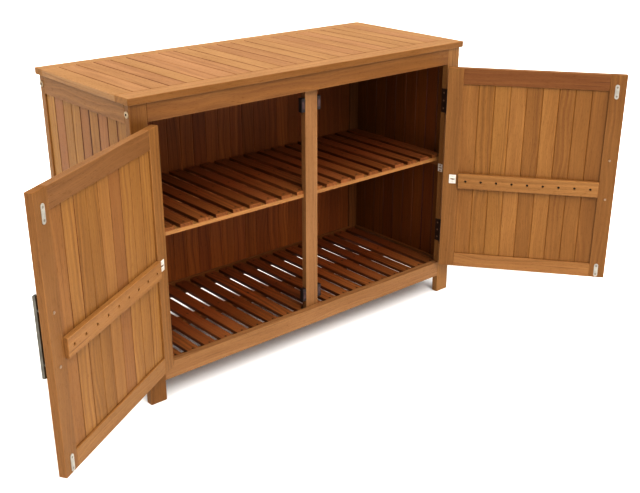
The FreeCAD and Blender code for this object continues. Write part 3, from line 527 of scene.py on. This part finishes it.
        # Fibre and cloud swing both ways round 1; pores and ends only darken.
        shade = given["Tone"]
        for mark, (low, high) in (
            (chance["X"], (1 - self.spread, 1 + self.spread)),
            (marks["fibre"], self.fibre_shade),
            (marks["cloud"], self.cloud_shade),
            (marks["pore"], self.pore_shade),
        ):
            factor = add(
                tree, "ShaderNodeMapRange", {"Value": mark, "To Min": low, "To Max": high}
            )
            shade = add(tree, "ShaderNodeMath", {0: shade, 1: factor}, operation="MULTIPLY")
        # Dust, old oil and painted shade darken the groove between two boards, some grooves more
        # than others; painted shade also darkens the gaps between slats and the line where boards
        # meet a frame. End grain soaks up more oil and darkens too.
        low, high = self.dust_and_shade
        groove_dust_and_shade = add(
            tree, "ShaderNodeMapRange", {"Value": chance["Y"], "To Min": low, "To Max": high}
        )
        seam = add(tree, "ShaderNodeMath", {0: given["Seam"], 1: groove_dust_and_shade}, operation="MULTIPLY")
        for mark, most in (("seam", seam), ("end", given["End"])):
            loss = add(tree, "ShaderNodeMath", {0: marks[mark], 1: most}, operation="MULTIPLY")
            clear = add(tree, "ShaderNodeMath", {0: 1.0, 1: loss}, operation="SUBTRACT")
            shade = add(tree, "ShaderNodeMath", {0: shade, 1: clear}, operation="MULTIPLY")
        return shade

    def _painted_interior_shade(
        self, tree: bpy.types.NodeTree, place: bpy.types.NodeSocket
    ) -> bpy.types.NodeSocket:
        """Find out how much painted shade a place inside the cabinet gets.

        Args:
            tree: The material's node tree.
            place: The place in metres.

        Returns:
            0 outside and at the open front, and from there up to 1 deeper in, where the painted
            shade is full.
        """
        low, high = (Vector(corner) for corner in INTERIOR)
        off = add(
            tree, "ShaderNodeVectorMath", {0: place, 1: (low + high) / 2}, operation="SUBTRACT"
        )
        off = add(tree, "ShaderNodeVectorMath", {0: off}, operation="ABSOLUTE")
        off = add(
            tree, "ShaderNodeVectorMath", {0: off, 1: (high - low) / 2}, operation="SUBTRACT"
        )
        sides = add(tree, "ShaderNodeSeparateXYZ", {0: off}).node.outputs
        most = add(tree, "ShaderNodeMath", {0: sides["X"], 1: sides["Y"]}, operation="MAXIMUM")
        most = add(tree, "ShaderNodeMath", {0: most, 1: sides["Z"]}, operation="MAXIMUM")
        fade = BORDER_FADE_MM * MM
        inside = add(
            tree, "ShaderNodeMapRange", {"Value": most, "From Min": fade, "From Max": -fade}
        )
        back = add(tree, "ShaderNodeSeparateXYZ", {0: place}).node.outputs["Y"]
        deep = add(
            tree,
            "ShaderNodeMapRange",
            {"Value": back, "From Min": low.y, "From Max": low.y + self.painted_shade_ramp_mm * MM},
        )
        return add(tree, "ShaderNodeMath", {0: inside, 1: deep}, operation="MULTIPLY")

    def dress(self, node: str, plank: Plank, swing: Swing = NOT_TURNED) -> None:
        """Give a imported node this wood, laid along its pieces.

        Args:
            node: The node's name.
            plank: How its pieces lie and what they were cut from.
            swing: How the door that holds it stands.
        """
        corners = [swing.shut(v.co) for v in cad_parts[node].data.vertices]
        low = [min(c[i] for c in corners) for i in range(3)]
        high = [max(c[i] for c in corners) for i in range(3)]
        along, across = plank.along.value, plank.across.value
        through = 3 - along - across
        start = low[across] + plank.housed * MM
        span = high[across] - plank.housed * MM - start
        pitch = width = span / plank.count
        if plank.width:
            width = plank.width * MM
            pitch = (span - width) / (plank.count - 1)
            start -= (pitch - width) / 2
        half = [(high[i] - low[i]) / 2 for i in (along, across, through)]
        half[0] -= plank.housed * MM
        half[1] = width / 2
        origin = [(high[i] + low[i]) / 2 for i in (along, across, through)]
        origin[1] = start

        material, tree = new_material(self.name + "_" + node)
        place = add(tree, "ShaderNodeTexCoord", {}, "Object")
        # A door's wood is laid out as if the door were shut.
        if swing.degrees:
            place = add(
                tree,
                "ShaderNodeVectorRotate",
                {
                    "Vector": place,
                    "Center": (swing.x, swing.y, 0.0),
                    "Angle": math.radians(-swing.degrees),
                },
                rotation_type="Z_AXIS",
            )
        # Painted shade darkens and reddens the wood inside the cabinet; the doors get none.
        painted_interior_shade = 0.0 if swing.degrees else self._painted_interior_shade(tree, place)
        parts = add(tree, "ShaderNodeSeparateXYZ", {0: place}).node.outputs
        place = add(
            tree,
            "ShaderNodeCombineXYZ",
            {0: parts[along], 1: parts[across], 2: parts[through]},
        )
        place = add(tree, "ShaderNodeVectorMath", {0: place, 1: origin}, operation="SUBTRACT")
        parts = add(tree, "ShaderNodeSeparateXYZ", {0: place}).node.outputs
        index = add(tree, "ShaderNodeMath", {0: parts["Y"], 1: pitch}, operation="DIVIDE")
        index = add(tree, "ShaderNodeMath", {0: index}, operation="FLOOR")
        middle = add(
            tree, "ShaderNodeMath", {0: index, 1: pitch, 2: pitch / 2}, operation="MULTIPLY_ADD"
        )
        beside = add(tree, "ShaderNodeMath", {0: parts["Y"], 1: middle}, operation="SUBTRACT")
        inputs = {
            "Inside": add(
                tree, "ShaderNodeCombineXYZ", {0: parts["X"], 1: beside, 2: parts["Z"]}
            ),
            "Half": half,
            "Number": add(tree, "ShaderNodeMath", {0: index, 1: plank.seed}, operation="ADD"),
            "Tone": plank.tone,
            "Seam": plank.edge,
            "End": plank.end,
            "PaintedInteriorShade": painted_interior_shade,
        }
        for label, pieces in (("Rosy", plank.rosy), ("Brown", plank.brown)):
            for piece in pieces:
                found = add(
                    tree, "ShaderNodeMath", {0: index, 1: piece, 2: HALF_STEP}, operation="COMPARE"
                )
                inputs[label] = add(
                    tree, "ShaderNodeMath", {0: found, 1: inputs.get(label, 0.0)}, operation="ADD"
                )
        figure = add(tree, "ShaderNodeGroup", inputs, node_tree=self.figure()).node.outputs
        relief = add(
            tree,
            "ShaderNodeBump",
            {
                "Strength": self.relief,
                "Distance": self.bump_mm * MM,
                "Height": figure["Height"],
            },
        )
        shader = add(
            tree,
            "ShaderNodeBsdfPrincipled",
            {
                "Base Color": figure["Colour"],
                "Roughness": figure["Roughness"],
                "Normal": relief,
                "IOR": self.ior,
                "Specular IOR Level": self.gloss,
            },
        )
        add(tree, "ShaderNodeOutputMaterial", {"Surface": shader})
        dress(node, material)


@dataclass(frozen=True)
class Patch:
    """A place where a finish has another colour: round a point or along a line.

    centre is a point of it in metres, the same at both sides of the cabinet's middle plane. axes is
    how much the distance along each axis counts, and reach_mm is how far the patch goes.
    """

    colour: str
    centre: tuple[float, float, float]
    axes: tuple[float, float, float]
    reach_mm: float
    fade_mm: float = 0.2


@dataclass(frozen=True)
class Hardware:
    """A metal or plastic surface whose making left fine marks of one direction or none.

    marks is the size of those marks in millimetres along each axis, drawn coarser than the real
    scratches or grain of 0.02 to 0.2 mm so that they show. stains is how many larger stains there
    are to the metre, and span gives the values of both for the mark colour and the base colour.
    """

    name: str
    base: str
    mark: str
    metallic: float
    roughness: tuple[float, float]
    marks: tuple[float, float, float]
    stains: float = 60.0
    span: tuple[float, float] = (0.1, 0.45)
    relief: float = 0.4
    bump_mm: float = 0.03
    patches: tuple[Patch, ...] = ()

    def material(self) -> bpy.types.Material:
        """Return this finish's material, made at its first use."""
        if self.name in bpy.data.materials:
            return bpy.data.materials[self.name]
        material, tree = new_material(self.name)
        place = add(tree, "ShaderNodeTexCoord", {}, "Object")
        scale = [1 / (size * MM) for size in self.marks]
        fine = add(tree, "ShaderNodeVectorMath", {0: place, 1: scale}, operation="MULTIPLY")
        fine = add(tree, "ShaderNodeTexNoise", {"Vector": fine, "Scale": 1.0, "Detail": 3.0})
        stain = add(
            tree, "ShaderNodeTexNoise", {"Vector": place, "Scale": self.stains, "Detail": 2.0}
        )
        blend = add(tree, "ShaderNodeMath", {0: fine, 1: stain}, operation="MULTIPLY")
        low, high = self.span
        blend = add(
            tree, "ShaderNodeMapRange", {"Value": blend, "From Min": low, "From Max": high}
        )
        colour = add(
            tree,
            "ShaderNodeMix",
            {0: blend, 6: linear(self.mark), 7: linear(self.base)},
            2,
            data_type="RGBA",
        )
        for patch in self.patches:
            colour = self._patched(tree, place, colour, patch)
        low, high = self.roughness
        rough = add(tree, "ShaderNodeMapRange", {"Value": fine, "To Min": low, "To Max": high})
        relief = add(
            tree,
            "ShaderNodeBump",
            {"Strength": self.relief, "Distance": self.bump_mm * MM, "Height": fine},
        )
        shader = add(
            tree,
            "ShaderNodeBsdfPrincipled",
            {"Base Color": colour, "Roughness": rough, "Normal": relief, "Metallic": self.metallic},
        )
        add(tree, "ShaderNodeOutputMaterial", {"Surface": shader})
        return material

    def _patched(
        self,
        tree: bpy.types.NodeTree,
        place: bpy.types.NodeSocket,
        colour: bpy.types.NodeSocket,
        patch: Patch,
    ) -> bpy.types.NodeSocket:
        """Lay a patch over the colour.

        Args:
            tree: The material's node tree.
            place: The place in metres.
            colour: The colour outside the patch.
            patch: Where the other colour is.

        Returns:
            The colour everywhere.
        """
        off = add(tree, "ShaderNodeVectorMath", {0: place}, operation="ABSOLUTE")
        off = add(tree, "ShaderNodeVectorMath", {0: off, 1: patch.centre}, operation="SUBTRACT")
        off = add(tree, "ShaderNodeVectorMath", {0: off, 1: patch.axes}, operation="MULTIPLY")
        off = add(tree, "ShaderNodeVectorMath", {0: off}, "Value", operation="LENGTH")
        reach, fade = patch.reach_mm * MM, patch.fade_mm * MM
        share = add(
            tree,
            "ShaderNodeMapRange",
            {"Value": off, "From Min": reach + fade, "From Max": reach - fade},
        )
        return add(
            tree,
            "ShaderNodeMix",
            {0: share, 6: colour, 7: linear(patch.colour)},
            2,
            data_type="RGBA",
        )

    def dress(self, *nodes: str) -> None:
        """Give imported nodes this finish."""
        for node in nodes:
            dress(node, self.material())


# The worktop is paler, greyer and more even than the rest: its pale grey is partly painted sheen of
# its lit top. Dust and painted shade fill its wide grooves.
TOP_WOOD = OiledHardwood(
    "oiled_eucalyptus_worktop",
    pale="#B1885B",
    warm="#977248",
    deep="#744C28",
    rose="#91614A",
    streak_mm=9.0,
    contrast=0.3,
    seam_mm=1.9,
    spread=0.05,
    rosiness=0.3,
)
# Legs, rails and stiles come from even, straight planks, so they look alike.
FRAME_WOOD = OiledHardwood("oiled_eucalyptus_frame", contrast=0.36, spread=0.05, rosiness=0.1)
# The post, the bottom rail and one door rail are a little greyer.
FRONT_WOOD = OiledHardwood(
    "oiled_eucalyptus_front",
    pale="#A37B51",
    warm="#8B6640",
    deep="#6A4426",
    contrast=0.36,
    spread=0.05,
    rosiness=0.1,
)
# The side boards look yellower outside, between wide dark grooves of dust and painted shade;
# inside, painted shade makes them darker and redder.
WALL_WOOD = OiledHardwood(
    "oiled_eucalyptus_side_boards",
    pale="#A97D43",
    warm="#906834",
    deep="#6E451B",
    rose="#845438",
    seam_mm=2.4,
    spread=0.1,
    rosiness=0.2,
    painted_shade_tint=(0.84, 0.57, 0.32),
)
# The back has broad, strong streaks, and the painted shade on its inner face keeps the most red.
BACK_WOOD = OiledHardwood(
    "oiled_eucalyptus_back_boards",
    pale="#A67A42",
    warm="#8E6533",
    deep="#6C431A",
    rose="#845438",
    streak_mm=12.0,
    contrast=0.85,
    seam_mm=0.8,
    spread=0.12,
    painted_shade_tint=(1.03, 0.68, 0.45),
)
# The slats have strong streaks and differ the most, and their painted shade grows slowly from the
# front, so their front ends look lit.
SLAT_WOOD = OiledHardwood(
    "oiled_eucalyptus_slats",
    pale="#9B6638",
    warm="#86572D",
    deep="#643A17",
    rose="#7E4A2C",
    contrast=0.85,
    seam_mm=0.8,
    spread=0.19,
    painted_shade_ramp_mm=220.0,
    painted_shade_tint=(0.89, 0.6, 0.39),
)
# The door boards are honey brown, and a few of them are a little pink.
PANEL_WOOD = OiledHardwood(
    "oiled_eucalyptus_door_boards",
    pale="#A57942",
    warm="#8D6533",
    deep="#6C431B",
    rose="#8A5F38",
    contrast=0.45,
    seam_mm=1.5,
    spread=0.1,
    rosiness=0.25,
)

# The bar handles are brushed along their length, which draws highlights out into soft lines.
BRUSHED_STAINLESS = Hardware(
    "brushed_stainless_steel",
    base="#7D7970",
    mark="#5D5951",
    metallic=1.0,
    roughness=(0.3, 0.45),
    marks=(0.6, 0.6, 20.0),
)
# The strike plates are pressed from zinc plated strip: light grey, satin and slightly clouded.
PRESSED_PLATE = Hardware(
    "satin_zinc_plated_steel",
    base="#BBB6AC",
    mark="#99938A",
    metallic=0.3,
    roughness=(0.4, 0.55),
    marks=(2.0, 2.0, 2.0),
)
# The round screw heads are polished and mirror the wood round them; their warm colour is a painted
# reflection of it too.
CAP_SCREW = Hardware(
    "polished_screw_cap_steel",
    base="#AC957E",
    mark="#8A745F",
    metallic=0.5,
    roughness=(0.25, 0.4),
    marks=(1.0, 1.0, 1.0),
)
# The slotted plates have stayed almost white. The patches are painted shade in the slots of the
# left door's plate, of the right door's and of both legs'.
SLOT_SHADE, SLOT_AXES, SLOT_REACH = "#4A3B30", (0.25, 0.25, 1.0), 1.9
CLEAN_PLATE = Hardware(
    "new_zinc_plated_steel",
    base="#DDD8D0",
    mark="#C2BCB3",
    metallic=0.1,
    roughness=(0.4, 0.55),
    marks=(2.0, 2.0, 2.0),
    patches=(
        Patch(SLOT_SHADE, (0.5571, 0.2779, 0.418), SLOT_AXES, SLOT_REACH),
        Patch(SLOT_SHADE, (0.5421, 0.2804, 0.418), SLOT_AXES, SLOT_REACH),
        Patch(SLOT_SHADE, (0.5443, 0.224, 0.442), SLOT_AXES, SLOT_REACH),
    ),
)
# The doors' screws are matt with oil. Those sunk in the batten get painted shadow, as dark as their
# holes; those of the slotted plates are almost as bright as the plates.
DOOR_SCREW = Hardware(
    "oiled_door_screw_steel",
    base="#978F83",
    mark="#7A7267",
    metallic=0.3,
    roughness=(0.45, 0.6),
    marks=(1.0, 1.0, 1.0),
    patches=(
        Patch("#20150C", (0.0, 0.0, 0.414), (0.0, 0.0, 1.0), 26.0),
        Patch("#C8C2B8", (0.5495, 0.279, 0.418), (1.0, 1.0, 1.0), 22.0),
    ),
)
# The slats' screws and the hinge pins are bare steel that the oil has turned a dull brown.
DULL_SCREW = Hardware(
    "oiled_screw_steel",
    base="#5E4E3C",
    mark="#3B2E20",
    metallic=1.0,
    roughness=(0.45, 0.6),
    marks=(1.0, 1.0, 1.0),
)
# The chromate gives the bolts a pale brass tint. The patch is painted shade in their sockets.
BRASSED_STEEL = Hardware(
    "yellow_chromated_bolt_steel",
    base="#B3A188",
    mark="#917D61",
    metallic=0.4,
    roughness=(0.4, 0.55),
    marks=(1.0, 1.0, 1.0),
    patches=(Patch("#33241A", (0.0, 0.22395, 0.80705), (0.0, 1.0, 1.0), 3.2),),
)
# The magnets' pole faces are ground along their length: dark, with a faint shine.
MAGNET_STEEL = Hardware(
    "ground_magnet_pole_steel",
    base="#75615F",
    mark="#4A3A3A",
    metallic=1.0,
    roughness=(0.35, 0.55),
    marks=(0.8, 0.8, 12.0),
)
# The hinge leaves are dipped in thin black lacquer; the brown tint of their colour is a painted
# reflection of the wood.
BLACK_STEEL = Hardware(
    "black_lacquered_steel",
    base="#4A2D1E",
    mark="#24140D",
    metallic=0.0,
    roughness=(0.35, 0.55),
    marks=(1.2, 1.2, 1.2),
)
# The catches' housings have the fine eroded grain of their mould, so they look matt black.
BLACK_ABS = Hardware(
    "moulded_black_abs",
    base="#33211F",
    mark="#1C1212",
    metallic=0.0,
    roughness=(0.45, 0.62),
    marks=(0.9, 0.9, 0.9),
)


@dataclass
class LegFrame:
    """The legs, the rails between them and the centre post."""

    planks: dict[str, Plank] = field(
        default_factory=lambda: {
            "leg_front_left": Plank(Axis.Z, Axis.X, tone=0.72, seed=11.0),
            "leg_front_right": Plank(Axis.Z, Axis.X, tone=1.16, seed=12.0),
            "leg_rear_left": Plank(Axis.Z, Axis.X, tone=0.85, seed=13.0),
            "leg_rear_right": Plank(Axis.Z, Axis.X, tone=0.85, seed=14.0),
            "front_apron": Plank(Axis.X, Axis.Z, tone=0.69, seed=15.0),
            "front_bottom_rail": Plank(Axis.X, Axis.Z, tone=1.04, seed=16.0),
            "back_top_rail": Plank(Axis.X, Axis.Z, seed=17.0),
            "back_bottom_rail": Plank(Axis.X, Axis.Z, tone=0.75, seed=18.0),
            "side_top_rail_left": Plank(Axis.Y, Axis.Z, tone=0.9, seed=19.0),
            "side_top_rail_right": Plank(Axis.Y, Axis.Z, seed=20.0),
            "side_bottom_rail_left": Plank(Axis.Y, Axis.Z, tone=0.8, seed=21.0),
            "side_bottom_rail_right": Plank(Axis.Y, Axis.Z, tone=0.8, seed=22.0),
            "centre_post": Plank(Axis.Z, Axis.X, tone=0.98, seed=23.0),
        }
    )
    greyer: tuple[str, ...] = ("centre_post", "front_bottom_rail")

    def build(self) -> None:
        """Dress the legs, the rails and the post."""
        for node, plank in self.planks.items():
            wood = FRONT_WOOD if node in self.greyer else FRAME_WOOD
            wood.dress(node, plank)
        BRASSED_STEEL.dress("frame_bolts")


@dataclass
class Walls:
    """Tongued and grooved side and back boards."""

    side_boards: int = 9
    back_boards: int = 23

    def build(self) -> None:
        """Dress the three boarded walls."""
        side = (Axis.Z, Axis.Y, self.side_boards)
        back = (Axis.Z, Axis.X, self.back_boards)
        WALL_WOOD.dress("side_boards_left", Plank(*side, rosy=(2, 4, 7), edge=0.85, seed=100.0))
        WALL_WOOD.dress(
            "side_boards_right", Plank(*side, rosy=(1, 5), tone=0.72, edge=0.75, seed=140.0)
        )
        BACK_WOOD.dress("back_boards", Plank(*back, brown=(20, 21, 22), edge=0.12, seed=180.0))


@dataclass
class Worktop:
    """The framed worktop and the bearers under it."""

    boards: int = 21
    bearers: int = 3
    bearer_width: float = 48.0

    def build(self) -> None:
        """Dress the worktop."""
        for node, plank in {
            # edge paints shade on the front board's front face, which gets less light than the top.
            "worktop_front_board": Plank(Axis.X, Axis.Y, edge=0.5, seed=31.0),
            "worktop_back_board": Plank(Axis.X, Axis.Y, seed=32.0),
            "worktop_left_board": Plank(Axis.Y, Axis.X, tone=1.02, seed=33.0),
            "worktop_right_board": Plank(Axis.Y, Axis.X, seed=34.0),
            "worktop_slats": Plank(Axis.Y, Axis.X, self.boards, edge=0.62, end=0.5, seed=220.0),
        }.items():
            TOP_WOOD.dress(node, plank)
        FRAME_WOOD.dress(
            "worktop_bearers", Plank(Axis.X, Axis.Y, self.bearers, self.bearer_width, seed=40.0)
        )


@dataclass
class Shelves:
    """The bottom and the middle shelf: slats on bearers."""

    slats: int = 20
    slat_width: float = 39.0
    bearers: int = 3
    bearer_width: float = 30.0
    cleats: int = 2
    cleat_width: float = 20.0

    def build(self) -> None:
        """Dress both shelves."""
        slats = (Axis.Y, Axis.X, self.slats, self.slat_width)
        bearers = (Axis.X, Axis.Y, self.bearers, self.bearer_width)
        cleats = (Axis.Y, Axis.X, self.cleats, self.cleat_width)
        # edge darkens the slats' long sides with dust and painted shade, which darkens the gaps
        # between them.
        SLAT_WOOD.dress("bottom_slats", Plank(*slats, tone=0.96, edge=0.65, seed=260.0))
        SLAT_WOOD.dress("shelf_slats", Plank(*slats, tone=0.98, edge=0.65, seed=300.0))
        FRAME_WOOD.dress("bottom_bearers", Plank(*bearers, tone=0.8, seed=50.0))
        FRAME_WOOD.dress("shelf_bearers", Plank(*bearers, tone=1.42, seed=60.0))
        FRAME_WOOD.dress("shelf_cleats", Plank(*cleats, seed=70.0))
        DULL_SCREW.dress("slat_screws")


@dataclass
class Door:
    """A framed and boarded door with its fittings."""

    side: str
    swing: Swing
    planks: dict[str, Plank]
    greyer: tuple[str, ...] = ()

    def build(self) -> None:
        """Dress the door."""
        start = self.side + "_door_"
        for name, plank in self.planks.items():
            if name == "boards":
                wood = PANEL_WOOD
            else:
                wood = FRONT_WOOD if name in self.greyer else FRAME_WOOD
            wood.dress(start + name, plank, self.swing)
        BRUSHED_STAINLESS.dress(start + "handle")
        CAP_SCREW.dress(start + "handle_screws")
        PRESSED_PLATE.dress(start + "strike_plates")
        CLEAN_PLATE.dress(start + "stay_plate")
        DOOR_SCREW.dress(start + "screws")
        BLACK_STEEL.dress(start + "hinge_leaves")


# Nine boards in each door, which run 7 mm into the grooves of its frame. Their edge and end
# darkening is dust and painted shade along their joints and where they meet the frame.
DOOR_BOARDS = (Axis.Z, Axis.X, 9, 0.0, 7.0)
LEFT_DOOR = Door(
    "left",
    Swing(x=-0.543, y=-0.2396, degrees=-148.6),
    {
        "hinge_stile": Plank(Axis.Z, Axis.X, seed=400.0),
        # edge paints a little shade on the free stile's edge faces.
        "free_stile": Plank(Axis.Z, Axis.X, tone=0.84, edge=0.1, seed=406.0),
        "top_rail": Plank(Axis.X, Axis.Z, tone=0.82, seed=402.0),
        "bottom_rail": Plank(Axis.X, Axis.Z, tone=1.05, seed=403.0),
        "batten": Plank(Axis.X, Axis.Z, tone=1.15, seed=404.0),
        "boards": Plank(*DOOR_BOARDS, rosy=(3, 8), tone=0.99, edge=0.75, end=0.55, seed=405.0),
    },
    greyer=("top_rail",),
)
RIGHT_DOOR = Door(
    "right",
    Swing(x=0.543, y=-0.2396, degrees=127.1),
    {
        "hinge_stile": Plank(Axis.Z, Axis.X, tone=0.9, seed=440.0),
        "free_stile": Plank(Axis.Z, Axis.X, tone=0.78, seed=441.0),
        "top_rail": Plank(Axis.X, Axis.Z, rosy=(0,), tone=0.72, seed=442.0),
        "bottom_rail": Plank(Axis.X, Axis.Z, tone=1.15, seed=443.0),
        "batten": Plank(Axis.X, Axis.Z, tone=1.1, seed=444.0),
        "boards": Plank(
            *DOOR_BOARDS, brown=(0, 1, 2, 4), tone=0.99, edge=0.12, end=0.5, seed=445.0
        ),
    },
)


@dataclass
class Fittings:
    """The hinge leaves and pins on the legs, the stay plates and the magnetic catches."""

    def build(self) -> None:
        """Dress the fittings that don't swing."""
        BLACK_STEEL.dress("leg_hinge_leaves")
        CLEAN_PLATE.dress("leg_stay_plates")
        DULL_SCREW.dress("hinge_pins")
        CAP_SCREW.dress("leg_screws")
        BLACK_ABS.dress("catch_housings")
        MAGNET_STEEL.dress("catch_magnets")


@dataclass
class Studio:
    """The pale floor, the light and the camera.

    dome is the strength of the light at the horizon and straight above. The softbox stands at
    key_direction, its height and turn in degrees, and key_spread is how far it reaches round its
    middle. backdrop is how bright the background looks. The camera's place is in metres.
    """

    floor_radius: float = 40.0
    floor_corners: int = 96
    floor_colour: str = "#F2F2F1"
    floor_roughness: tuple[float, float] = (0.85, 0.95)
    floor_gloss: float = 0.1
    nap_scale: float = 180.0
    dome: tuple[float, float] = (0.03, 3.5)
    key_direction: tuple[float, float] = (37.0, -106.0)
    key_spread: float = 24.0
    key_strength: float = 8.4
    backdrop: float = 1.0
    exposure: float = 0.2
    gamma: float = 0.72
    camera_place: tuple[float, float, float] = (-1.7361, -2.2577, 1.3892)
    camera_turn: float = -41.573
    camera_tilt: float = 67.17
    camera_roll: float = 0.269
    sensor: float = 36.0
    lens: float = 54.27
    shift: tuple[float, float] = (-0.0175, 0.0212)

    def build(self) -> None:
        """Lay the floor, light it and set the camera."""
        self._floor()
        self._light()
        self._camera()

    def _floor(self) -> None:
        """Lay a matt white floor disc under the feet."""
        mesh = bpy.data.meshes.new("studio_floor")
        shape = bmesh.new()
        bmesh.ops.create_circle(
            shape, cap_ends=True, radius=self.floor_radius, segments=self.floor_corners
        )
        shape.to_mesh(mesh)
        shape.free()
        floor = bpy.data.objects.new("studio_floor", mesh)
        bpy.context.scene.collection.objects.link(floor)
        # Matt emulsion paint: no sheen, a hair of unevenness from the roller.
        material, tree = new_material("matt_white_paint")
        place = add(tree, "ShaderNodeTexCoord", {}, "Object")
        nap = add(
            tree, "ShaderNodeTexNoise", {"Vector": place, "Scale": self.nap_scale, "Detail": 2.0}
        )
        low, high = self.floor_roughness
        rough = add(tree, "ShaderNodeMapRange", {"Value": nap, "To Min": low, "To Max": high})
        shader = add(
            tree,
            "ShaderNodeBsdfPrincipled",
            {
                "Base Color": linear(self.floor_colour),
                "Roughness": rough,
                "Specular IOR Level": self.floor_gloss,
            },
        )
        add(tree, "ShaderNodeOutputMaterial", {"Surface": shader})
        mesh.materials.append(material)

    def _light(self) -> None:
        """Light the scene with a dome that is brightest overhead and a softbox at the front."""
        world = bpy.data.worlds.new("studio_dome")
        bpy.context.scene.world = world
        world.use_nodes = True
        tree = world.node_tree
        tree.nodes.clear()
        place = add(tree, "ShaderNodeTexCoord", {}, "Generated")
        up = add(tree, "ShaderNodeSeparateXYZ", {0: place}).node.outputs["Z"]
        up = add(tree, "ShaderNodeMath", {0: up, 1: up}, operation="MULTIPLY")
        low, high = self.dome
        even = add(tree, "ShaderNodeMapRange", {"Value": up, "To Min": low, "To Max": high})
        rise, turn = (math.radians(angle) for angle in self.key_direction)
        key = (
            math.cos(rise) * math.cos(turn),
            math.cos(rise) * math.sin(turn),
            math.sin(rise),
        )
        near = add(
            tree, "ShaderNodeVectorMath", {0: place, 1: key}, "Value", operation="DOT_PRODUCT"
        )
        lobe = add(
            tree,
            "ShaderNodeMapRange",
            {
                "Value": near,
                "From Min": math.cos(math.radians(self.key_spread)),
                "To Max": self.key_strength,
            },
            interpolation_type="SMOOTHSTEP",
        )
        strength = add(tree, "ShaderNodeMath", {0: even, 1: lobe}, operation="ADD")
        # What shows behind the floor's far edge is as pale as the floor.
        seen = add(tree, "ShaderNodeLightPath", {}, "Is Camera Ray")
        strength = add(tree, "ShaderNodeMix", {0: seen, 2: strength, 3: self.backdrop}, 0)
        dome = add(
            tree, "ShaderNodeBackground", {"Color": linear("#FFFFFF"), "Strength": strength}
        )
        add(tree, "ShaderNodeOutputWorld", {"Surface": dome})
        # The photograph has deep shadows and clear whites, as from a print with some contrast.
        view = bpy.context.scene.view_settings
        view.view_transform = "Standard"
        view.exposure = self.exposure
        view.gamma = self.gamma

    def _camera(self) -> None:
        """Set the camera at the photograph's angle."""
        optics = bpy.data.cameras.new("camera")
        optics.lens = self.lens
        optics.sensor_width = self.sensor
        optics.shift_x, optics.shift_y = self.shift
        camera = bpy.data.objects.new("camera", optics)
        turns = zip((self.camera_turn, self.camera_tilt, self.camera_roll), "ZXZ")
        stand = Matrix.Translation(self.camera_place)
        for degrees, axis in turns:
            stand = stand @ Matrix.Rotation(math.radians(degrees), 4, axis)
        camera.matrix_world = stand
        bpy.context.scene.collection.objects.link(camera)
        bpy.context.scene.camera = camera


def main() -> None:
    logging.basicConfig(level=logging.INFO, format="%(message)s")
    for part in (
        LegFrame(),
        Walls(),
        Worktop(),
        Shelves(),
        Fittings(),
        LEFT_DOOR,
        RIGHT_DOOR,
        Studio(),
    ):
        part.build()


if __name__ == "__main__":
    main()
